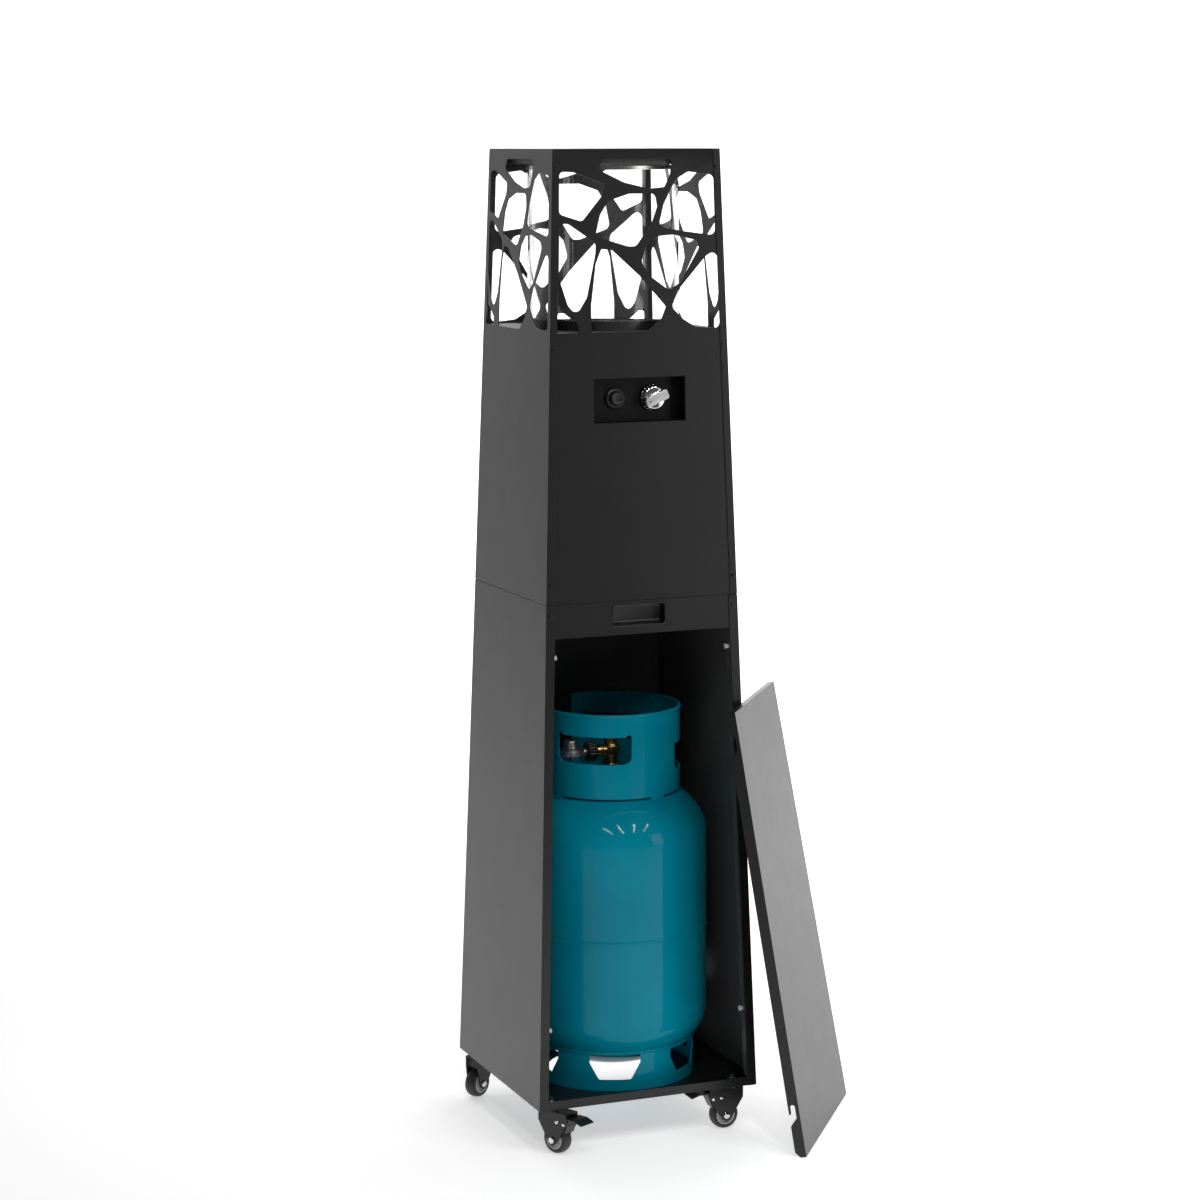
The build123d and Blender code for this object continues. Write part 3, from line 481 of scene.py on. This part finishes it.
def rounded_rectangle(mid, along, side, half_along, half_side, radius, steps=8):
    """A closed outline with round corners, flat in the directions along and side."""
    points = []
    for quarter, (sign_along, sign_side) in enumerate(((1, 1), (-1, 1), (-1, -1), (1, -1))):
        for i in range(steps + 1):
            a = pi / 2 * (quarter + i / steps)
            reach_along = sign_along * (half_along - radius) + radius * cos(a)
            reach_side = sign_side * (half_side - radius) + radius * sin(a)
            points.append(mid + along * reach_along + side * reach_side)
    return points


def level_arc(x, y, z, radius, start, sweep, steps):
    """Points along a level arc."""
    angles = [start + sweep * i / steps for i in range(steps + 1)]
    return [(x + radius * cos(a), y + radius * sin(a), z) for a in angles]


# ---- gas bottle ----------------------------------------------------------------------------------


def bottle_pieces():
    """The tank as one turned shell, its girth weld, and the fillet welds of guard and foot ring."""
    low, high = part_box("bottle_tank")
    x, y = middle("bottle_tank").xy
    radius = (high.x - low.x) / 2
    rise, wall_low, wall_high = 0.087, 0.105, 0.376
    steps = 40
    dome = [pi / 2 * i / steps for i in range(steps + 1)]
    profile = [(radius * sin(a), wall_low - rise * cos(a)) for a in dome]
    profile += [(radius, wall_low + (wall_high - wall_low) * i / 8) for i in range(1, 8)]
    profile += [(radius * cos(a), wall_high + rise * sin(a))
                for a in dome if radius * cos(a) > 0.019]
    profile += [(0.0176, 0.4630), (0.0170, 0.4642), (0.0170, high.z - 0.0014), (0.0156, high.z),
                (0.0, high.z)]
    bm = bmesh.new()
    turn(bm, profile, (x, y, 0), (0, 0, 1), 192)
    add_piece("tank_shell", bm, TEAL, "bottle", ["bottle_tank"])

    seam_z, width, height, pitch = 0.2325, 0.0058, 0.0013, 0.0042
    count = int(tau * radius / pitch)

    def ripple(a, r, h):
        ridge = 0.5 + 0.5 * cos(count * a + (h / width) ** 2 * 9)
        wander = noise.noise(Vector((cos(a), sin(a), h * 40)) * 9)
        return r + (r - radius) * (0.22 * ridge - 0.11 + 0.25 * wander)

    arc = [pi * i / 8 for i in range(9)]
    bm = bmesh.new()
    profile = [(radius - 0.0004 + height * sin(a), -width / 2 * cos(a)) for a in arc]
    turn(bm, profile, (x, y, seam_z), (0, 0, 1), count * 4, ripple)
    add_piece("tank_girth_weld", bm, TEAL, "bottle")

    def beading(count, taper=0.0):
        """Ripples along a weld, which may thin out towards its ends."""
        return lambda t, a: (1 - taper * (2 * t - 1) ** 8) * (1 + 0.12 * cos(tau * count * t))

    foot_r, guard_r, bead, sides = 0.1250, 0.1030, 0.0026, 8
    bm = bmesh.new()
    z = wall_low - rise * (1 - (foot_r / radius) ** 2) ** 0.5 - 0.0012
    tube(bm, level_arc(x, y, z, foot_r, 0, tau, 240), bead, sides, beading(190))
    z = wall_high + rise * (1 - (guard_r / radius) ** 2) ** 0.5 + 0.0006
    half = 0.0145 / guard_r
    for angle in (-70, 22, 85, -165):
        path = level_arc(x, y, z, guard_r, radians(angle) - half, 2 * half, 24)
        tube(bm, path, bead, sides, beading(7, 0.8))
    add_piece("tank_fillet_welds", bm, TEAL, "bottle")


def valve_pieces():
    """The valve's turned brass body, the union's ribbed grip and the lobed handwheel."""
    x, y = middle("bottle_tank").xy
    base, top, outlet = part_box("bottle_tank")[1].z, 0.527, OUTLET_Z
    bm = bmesh.new()
    hexagon = [(0, base), (0.015, base), (0.015, base + 0.008), (0.0115, base + 0.0095),
               (0, base + 0.0095)]
    turn(bm, rounded(hexagon, 0.0006, 3), (x, y, 0), (0, 0, 1), 96, prism(0.015, 6))
    body = [(0.0112, base + 0.009), (0.0112, outlet - 0.009), (0.0122, outlet - 0.007),
            (0.0122, outlet + 0.007), (0.0100, outlet + 0.0095), (0.0088, 0.5115),
            (0.0110, 0.5130), (0.0110, 0.5225), (0.0075, 0.5245), (0.0075, top), (0.0048, top),
            (0.0048, 0.530), (0, 0.530)]
    turn(bm, rounded(body, 0.0008, 3), (x, y, 0), (0, 0, 1), 64)
    spout = [(0, 0), (0.0088, 0), (0.0088, 0.0150), (0.0096, 0.0165), (0.0096, 0.0262),
             (0.0070, 0.0262), (0, 0.024)]
    turn(bm, rounded(spout, 0.0006, 3), (x, y, outlet), (-1, 0, 0), 48)
    relief = [(0, 0.008), (0.0062, 0.008), (0.0062, 0.0150), (0.0048, 0.0162), (0.0048, 0.0178),
              (0, 0.0178)]
    turn(bm, rounded(relief, 0.0004, 3), (x, y, outlet + 0.001), (cos(0.6), sin(0.6), 0), 48,
         prism(0.0062, 6))
    add_piece("valve_body", bm, BRASS, "bottle", ["bottle_valve"])

    low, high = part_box("union_nut")
    length = high.x - low.x
    grip = [(0.0097, 0), (0.0142, 0), (0.0150, 0.002), (0.0150, length - 0.003), (0.0128, length),
            (0.0074, length)]

    def ribs(a, r, h):
        return r - 0.0011 * (0.5 + 0.5 * cos(16 * a)) ** 3 if r > 0.0127 else r

    bm = bmesh.new()
    turn(bm, rounded(grip, 0.0009, 4), (high.x, y, outlet), (-1, 0, 0), 192, ribs)
    add_piece("union_grip", bm, BLACK_PLASTIC, "bottle", ["union_nut"])

    low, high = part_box("bottle_handwheel")
    depth = high.z - low.z
    rim = [(0.0062, 0), (0.0215, 0), (0.0258, 0.0025), (0.0262, 0.009), (0.0240, depth - 0.0015),
           (0.0205, depth), (0.0195, depth - 0.0040), (0.0175, depth - 0.0058),
           (0.0090, depth - 0.0062), (0.0078, depth - 0.0022), (0.0050, depth - 0.0005),
           (0.0, depth - 0.0005)]

    def lobes(a, r, h):
        return r - 0.0030 * (0.5 + 0.5 * cos(8 * a)) ** 2 * min(1.0, max(0.0, (r - 0.016) / 0.008))

    bm = bmesh.new()
    turn(bm, rounded(rim, 0.0014, 4), (x, y, low.z), (0, 0, 1), 192, lobes)
    for i in range(3):
        a = tau * i / 3 + 0.5
        start = Vector((x + 0.008 * cos(a), y + 0.008 * sin(a), low.z + depth - 0.0058))
        end = Vector((x + 0.0185 * cos(a), y + 0.0185 * sin(a), low.z + depth - 0.0050))
        tube(bm, [start.lerp(end, k / 6) for k in range(7)], 0.0012, 10)
    add_piece("handwheel_grip", bm, BLACK_PLASTIC, "handwheel",
              ["bottle_handwheel"])


def regulator_pieces():
    """The regulator: a die-cast body with a screwed rim, its arm and a barbed hose tail."""
    x, y = middle("bottle_tank").xy
    mid_x, axis_z = x - 0.067, OUTLET_Z
    lug_r, lug_angles = 0.0218, [tau * i / 6 + 0.3 for i in range(6)]
    bm = bmesh.new()
    body = [(0, axis_z - 0.0120), (0.0150, axis_z - 0.0120), (0.0190, axis_z - 0.0090),
            (0.0215, axis_z - 0.0045), (0.0238, axis_z - 0.0038), (0.0238, axis_z + 0.0010),
            (0.0215, axis_z + 0.0018), (0.0170, axis_z + 0.0075), (0.0125, axis_z + 0.0095),
            (0.0115, axis_z + 0.0190), (0.0095, axis_z + 0.0208), (0.0, axis_z + 0.0208)]
    turn(bm, rounded(body, 0.0010, 4), (mid_x, y, 0), (0, 0, 1), 96)
    for a in lug_angles:
        lug = (mid_x + lug_r * cos(a), y + lug_r * sin(a), 0)
        pad = [(0, axis_z - 0.0060), (0.0038, axis_z - 0.0060), (0.0038, axis_z + 0.0014),
               (0, axis_z + 0.0014)]
        turn(bm, rounded(pad, 0.0005, 3), lug, (0, 0, 1), 24)
    arm = [(0.0085, 0.0), (0.0085, 0.006), (0.0070, 0.008), (0.0070, 0.0190), (0.0090, 0.0195),
           (0.0090, 0.0262)]
    turn(bm, rounded(arm, 0.0006, 3), (mid_x + 0.012, y, axis_z - 0.001), (1, 0, 0), 48)
    out = Vector((cos(radians(135)), sin(radians(135)), 0))
    start = Vector((mid_x, y, axis_z - 0.004))
    stub = [(0.0075, 0.012), (0.0075, 0.024), (0.0065, 0.0245), (0.0065, 0.030), (0.0045, 0.0305)]
    barbs = [(0.0045 - 0.0005 * (k % 2), 0.0312 + 0.0034 * k) for k in range(6)]
    turn(bm, rounded(stub + barbs + [(0.0030, 0.050), (0.0, 0.050)], 0.0004, 2), start, out, 48)
    add_piece("regulator_body", bm, CAST, "bottle", ["gas_regulator"], 40)

    bm = bmesh.new()
    for a in lug_angles:
        at = (mid_x + lug_r * cos(a), y + lug_r * sin(a), axis_z + 0.0014)
        head = [(0.0023, 0), (0.0023, 0.0008), (0.0017, 0.0014), (0.0008, 0.0014),
                (0.0006, 0.0007), (0, 0.0007)]
        turn(bm, rounded(head, 0.0003, 3), at, (0, 0, 1), 24)
    add_piece("regulator_screws", bm, ZINC, "bottle")


# ---- controls ------------------------------------------------------------------------------------


def knob_pieces():
    """The gas knob: a fluted skirt and a grip bar across it, with a satin face and a mark."""
    low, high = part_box("control_knob")
    at = Vector((KNOB_X, high.y, KNOB_Z))
    depth = high.y - low.y
    flutes, skirt_depth = 24, 0.0090

    def fluted(a, r, h):
        valley = max(0.0, cos(flutes * a)) ** 1.2
        return r - 0.0019 * valley if r > 0.0168 and h > 0.0010 else r

    skirt = [(0.0, 0.0), (0.0186, 0.0), (0.0190, 0.0012), (0.0176, skirt_depth - 0.0016),
             (0.0150, skirt_depth), (0.0, skirt_depth + 0.0006)]
    bm = bmesh.new()
    turn(bm, rounded(skirt, 0.0010, 5), at, (0, -1, 0), flutes * 12, fluted)
    add_piece("knob_skirt", bm, CHROME, "knob", ["control_knob"], 50)

    tilt = radians(23)
    along = Vector((cos(tilt), 0, sin(tilt)))
    side = Vector((-sin(tilt), 0, cos(tilt)))

    def bar(grow, out):
        mid = at + Vector((0, -out, 0))
        return rounded_rectangle(mid, along, side, 0.01875 + grow, 0.00725 + grow, 0.0045 + grow)

    top = depth - 0.0003
    bm = bmesh.new()
    rings = [bar(0.0, 0.0010), bar(0.0, top - 0.0010)]
    rings += [bar(-0.0010 * (1 - cos(a)), top - 0.0010 + 0.0010 * sin(a))
              for a in (0.4, 0.8, 1.2, pi / 2)]
    loft(bm, rings)
    add_piece("knob_grip", bm, BRUSHED_CHROME, "knob", (), 50)
    bm = bmesh.new()
    loft(bm, [bar(-0.0011, top - 0.0004), bar(-0.0011, top + 0.0001), bar(-0.0013, top + 0.0003)])
    add_piece("knob_grip_face", bm, SATIN_SILVER, "knob", (), 50)
    bm = bmesh.new()
    mark = at + along * -0.0150 + Vector((0, -top - 0.0002, 0))
    path = [mark, mark + along * 0.0015, mark + along * 0.0050, mark + along * 0.0056]
    tube(bm, path, 0.0006, 10, lambda t, a: 0.7 if t in (0, 1) else 1)
    add_piece("knob_mark", bm, BLACK_PLASTIC, "knob")


def igniter_pieces():
    """The igniter: a dished button, the barrel that it slides in, and the lock nut."""
    low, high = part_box("igniter_button")
    at = Vector((BUTTON_X, high.y, BUTTON_Z))
    depth = high.y - low.y
    bm = bmesh.new()
    press = [(0, 0), (0.0095, 0), (0.0095, depth - 0.0020), (0.0088, depth - 0.0004),
             (0.0076, depth - 0.0001), (0.0066, depth - 0.0007), (0.0040, depth - 0.0013),
             (0, depth - 0.0015)]
    turn(bm, rounded(press, 0.0010, 4), at, (0, -1, 0), 96)
    add_piece("button_cap", bm, BLACK_PLASTIC, "button", ["igniter_button"])

    low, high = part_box("igniter_body")
    at.y = high.y
    depth = high.y - low.y
    bezel, bore = depth - 0.0060, 0.00955
    body = [(bore, depth - 0.018), (bore, depth - 0.0006), (bore + 0.0012, depth - 0.0002),
            (0.0126, depth), (0.0148, depth - 0.0012), (0.0150, bezel), (0.0110, bezel),
            (0.0110, 0.004), (0.0085, 0.0), (0.0, 0.0)]
    bm = bmesh.new()
    turn(bm, rounded(body, 0.0006, 4), at, (0, -1, 0), 96)
    add_piece("igniter_barrel", bm, BLACK_PLASTIC, "tower", ["igniter_body"])
    nut = [(0.0112, bezel - 0.0052), (0.0150, bezel - 0.0052), (0.0150, bezel - 0.0014),
           (0.0112, bezel - 0.0014)]
    bm = bmesh.new()
    turn(bm, rounded(nut, 0.0004, 2, True), at, (0, -1, 0), 96, prism(0.0150, 6))
    add_piece("igniter_lock_nut", bm, ZINC, "tower")


def cup_piece():
    """Moulded finger cup: a thin raised frame, drafted walls and a rounded floor."""
    low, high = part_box("pull_cup")
    mid = (low + high) / 2
    half_x, half_z = (high.x - low.x) / 2, (high.z - low.z) / 2
    back = high.y
    sections = [(0.0, back, 0.0060), (0.0, low.y + 0.0004, 0.0045),
                (0.0003, low.y + 0.0001, 0.0045), (0.0007, low.y, 0.0042), (0.0013, low.y, 0.0040),
                (0.0017, low.y + 0.0003, 0.0038), (0.0019, low.y + 0.0010, 0.0038),
                (0.0028, back - 0.0055, 0.0045), (0.0034, back - 0.0036, 0.0050),
                (0.0048, back - 0.0024, 0.0055), (0.0068, back - 0.0020, 0.0050)]
    right, up = Vector((1, 0, 0)), Vector((0, 0, 1))
    outlines = []
    for inset, y, r in sections:
        at = Vector((mid.x, y, mid.z))
        outlines.append(rounded_rectangle(at, right, up, half_x - inset, half_z - inset, r))
    bm = bmesh.new()
    loft(bm, outlines)
    # painted shade: the cup takes the darker plastic for the shade in its hollow
    add_piece("cup_moulding", bm, CUP_PLASTIC_PAINTED_SHADE, "tower", ["pull_cup"], 50)


def pin_pieces():
    """The door's hang pins: a stud with a domed head on each front flange."""
    head = rounded([(0, 0), (0.0030, 0.0001), (0.0045, 0.0007), (0.0045, 0.0014), (0.0030, 0.0015),
                    (0.0030, 0.0058), (0, 0.0058)], 0.0005, 4)
    bm = bmesh.new()
    for z in (0.118, 0.668):
        wall = BASE_HALF - (BASE_HALF - TOP_HALF) / TOWER_TOP * z
        for face in (-1, 1):
            turn(bm, head, (face * (wall - 0.020), 0.009 - wall, z), (face, 0, 0), 40)
    add_piece("hang_pin_studs", bm, PALE_ZINC_PAINTED_SHEEN, "tower", ["door_hang_pins"])


# ---- burner and glass ----------------------------------------------------------------------------


def glass_pieces():
    """The glass chimney with rounded lips, and the burner pan's rolled rim."""
    low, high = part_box("glass_tube")
    outer = (high.x - low.x) / 2
    inner = outer - 0.0030
    section = [(inner, low.z), (outer, low.z), (outer, high.z), (inner, high.z)]
    bm = bmesh.new()
    turn(bm, rounded(section, 0.0012, 5, True), (0, 0, 0), (0, 0, 1), 256)
    add_piece("glass_chimney", bm, GLASS, "tower", ["glass_tube"], 60)

    low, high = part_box("burner_pan")
    rim = (high.x - low.x) / 2
    roll = 0.0012
    bead = [(rim - roll + roll * cos(tau * i / 12), high.z - roll + roll * sin(tau * i / 12))
            for i in range(13)]
    bm = bmesh.new()
    turn(bm, bead, (0, 0, 0), (0, 0, 1), 256)
    # painted highlight: the pale, mostly diffuse zinc paints the rim's bright line
    add_piece("pan_rolled_rim", bm, PALE_ZINC_PAINTED_SHEEN, "tower")


# ---- casters -------------------------------------------------------------------------------------


def caster_pieces(corner):
    """Crowned tyre, ribbed hub and a bolt through both, and the bright rivets of a braked fork."""
    sx = -1 if corner.endswith("left") else 1
    sy = -1 if corner.startswith("front") else 1
    heading = radians(HEADINGS[corner])
    ahead, side = Vector((cos(heading), sin(heading), 0)), Vector((-sin(heading), cos(heading), 0))
    stem = Vector((sx * STEM, sy * STEM, 0))
    axle = stem + ahead * TRAIL + Vector((0, 0, AXLE_Z))

    bm = bmesh.new()
    half = 0.0095
    crown = [(0.0150, -half), (0.0178, -half), (0.0205, -half + 0.0016),
             (WHEEL_R - 0.0001, -0.0030), (WHEEL_R, 0), (WHEEL_R - 0.0001, 0.0030),
             (0.0205, half - 0.0016), (0.0178, half), (0.0150, half)]
    turn(bm, rounded(crown, 0.0020, 5, True), axle, side, 144)
    add_piece(f"tyre_{corner}", bm, RUBBER, f"wheel_{corner}",
              [f"caster_tyre_{corner}"])

    bm = bmesh.new()
    rim = [(0.0032, -0.0105), (0.0062, -0.0105), (0.0068, -0.0098), (0.0072, -0.0070),
           (0.0120, -0.0070), (0.0126, -0.0094), (0.0149, -0.0094), (0.0149, 0.0094),
           (0.0126, 0.0094), (0.0120, 0.0070), (0.0072, 0.0070), (0.0068, 0.0098),
           (0.0062, 0.0105), (0.0032, 0.0105)]
    turn(bm, rounded(rim, 0.0005, 3, True), axle, side, 96)
    for face in (-1, 1):
        for i in range(6):
            a = tau * i / 6 + 0.35
            out = Vector((0, 0, 1)) * cos(a) + ahead * sin(a)
            path = [axle + out * r + side * face * 0.0072 for r in (0.0064, 0.0082, 0.0104, 0.0126)]
            tube(bm, path, 0.0009, 8)
    add_piece(f"hub_{corner}", bm, HUB_PLASTIC, f"wheel_{corner}",
              [f"caster_hub_{corner}"])

    bm = bmesh.new()
    turn(bm, [(0, -0.0138), (0.0030, -0.0138), (0.0030, 0.0138), (0, 0.0138)], axle, side, 32)
    dome = rounded([(0, 0.0130), (0.0050, 0.0130), (0.0050, 0.0142), (0.0036, 0.0153),
                    (0, 0.0156)], 0.0008, 4)
    turn(bm, dome, axle, side, 48)
    nut = rounded([(0, 0.0130), (0.0054, 0.0130), (0.0054, 0.0155), (0.0044, 0.0160), (0, 0.0160)],
                  0.0004, 3)
    turn(bm, nut, axle, -side, 48, prism(0.0054, 6))
    add_piece(f"axle_bolt_{corner}", bm, CHROME, f"swivel_{corner}",
              [f"caster_axle_{corner}"])

    bm = bmesh.new()
    race = rounded([(0.0095, 0), (0.0128, 0), (0.0132, -0.0012), (0.0120, -0.0038),
                    (0.0100, -0.0040)], 0.0006, 4)
    turn(bm, race, stem, (0, 0, 1), 64)
    add_piece(f"swivel_race_{corner}", bm, ZINC, "tower")

    if corner not in BRAKED:
        return
    cheek = 0.0129
    bm = bmesh.new()
    for along, z in ((0.0226, -0.019), (0.036, -0.020)):
        for face in (-1, 1):
            at = stem + ahead * along + side * face * cheek + Vector((0, 0, z))
            head = [(0.0030, 0), (0.0029, 0.0004), (0.0022, 0.0012), (0.0010, 0.0016), (0, 0.0016)]
            turn(bm, rounded(head, 0.0005, 3), at, side * face, 32)
    add_piece(f"fork_rivets_{corner}", bm, CHROME, f"swivel_{corner}")


bottle_pieces()
valve_pieces()
regulator_pieces()
knob_pieces()
igniter_pieces()
cup_piece()
pin_pieces()
glass_pieces()
for corner in HEADINGS:
    caster_pieces(corner)


# ---- stage, light and camera ---------------------------------------------------------------------


def stage_floor():
    """A pale seamless sweep: floor in front, curving up into a wall well behind the heater.

    It fades to dark paper towards the front, so that the front wall doesn't pick up a bright floor.
    """
    bm = bmesh.new()
    front, bend, depth, height, half_span = -7.0, 1.2, 5.0, 5.0, 9.0
    line = [(front, FLOOR_Z), (depth - bend, FLOOR_Z)]
    line += [(depth - bend + bend * sin(a), FLOOR_Z + bend - bend * cos(a))
             for a in [pi / 2 * i / 12 for i in range(1, 13)]]
    line.append((depth, FLOOR_Z + height))
    rows = [[bm.verts.new((x, y, z)) for y, z in line] for x in (-half_span, half_span)]
    for i in range(len(line) - 1):
        bm.faces.new((rows[0][i], rows[1][i], rows[1][i + 1], rows[0][i + 1])).smooth = True
    mesh = bpy.data.meshes.new("sweep")
    bm.to_mesh(mesh)
    sweep = bpy.data.objects.new("sweep", mesh)
    bpy.context.scene.collection.objects.link(sweep)
    s = Surface("paper_sweep", IOR=1.3, Emission_Color=(1, 1, 1, 1))
    axes = s.node("ShaderNodeSeparateXYZ", {"Vector": s.place}).outputs
    near = s.ramp(axes[1], -2.7, -1.2, 0.0, 1.0)
    side = s.ramp(axes[0], -2.6, 2.6, 0.03, 1.9)
    s.join(s.ramp(s.math("MULTIPLY", near, side), 0.0, 2.0, 0.02, 1.02), "Emission Strength")
    paper = s.blend(s.clouds(3), (0.90, 0.90, 0.90), (0.92, 0.92, 0.92))
    s.join(s.blend(near, (0.14, 0.14, 0.14), paper), "Base Color")
    s.shader.inputs["Roughness"].default_value = 0.9
    sweep.data.materials.append(s.finish())


def area_light(name, place, target, size, power):
    """A soft box aimed at a point; it lights the set but isn't seen itself."""
    light = bpy.data.lights.new(name, "AREA")
    light.shape = "RECTANGLE"
    light.size, light.size_y = size
    light.energy = power
    obj = bpy.data.objects.new(name, light)
    bpy.context.scene.collection.objects.link(obj)
    obj.location = place
    obj.rotation_mode = "QUATERNION"
    obj.rotation_quaternion = (Vector(target) - Vector(place)).to_track_quat("-Z", "Y")
    obj.visible_camera = False


def lights():
    """A bright sweep behind, a dim room in front, and a row of lamps high before the doorway."""
    world = bpy.data.worlds.new("studio")
    bpy.context.scene.world = world
    world.use_nodes = True
    sky = world.node_tree.nodes["Background"].inputs
    sky["Color"].default_value = (1, 1, 1, 1)
    sky["Strength"].default_value = 0.10
    area_light("top_box", (1.5, 1.2, 3.6), (1.5, 1.2, 0.0), (4.0, 3.4), 58)
    area_light("wall_wash", (0.6, 3.0, 4.4), (0.9, 5.0, 1.2), (6.0, 1.2), 62)
    area_light("right_box", (2.45, -3.4, 0.9), (0.0, -0.1, 0.8), (1.3, 2.4), 20)
    for i in range(4):
        x = -1.32 + 0.94 * i
        area_light(f"lamp_{i}", (x, -2.8, 3.1), (x, -2.8, 0.0), (0.12, 1.9), 21)


def camera():
    """A long lens from the front left, a little above the lid, looking down at the tower."""
    place = (-1.7189, -4.2155, 1.4151)
    yaw, pitch, roll = radians(22.11), radians(8.62), radians(-0.155)
    data = bpy.data.cameras.new("camera")
    data.lens, data.sensor_width = 91.85, 36.0
    obj = bpy.data.objects.new("camera", data)
    bpy.context.scene.collection.objects.link(obj)
    forward = Vector((sin(yaw) * cos(pitch), cos(yaw) * cos(pitch), -sin(pitch)))
    facing = forward.to_track_quat("-Z", "Y").to_matrix() @ Matrix.Rotation(roll, 3, "Z")
    obj.matrix_world = Matrix.Translation(place) @ facing.to_4x4()
    bpy.context.scene.camera = obj


stage_floor()
lights()
camera()
bpy.context.scene.view_settings.view_transform = "Standard"
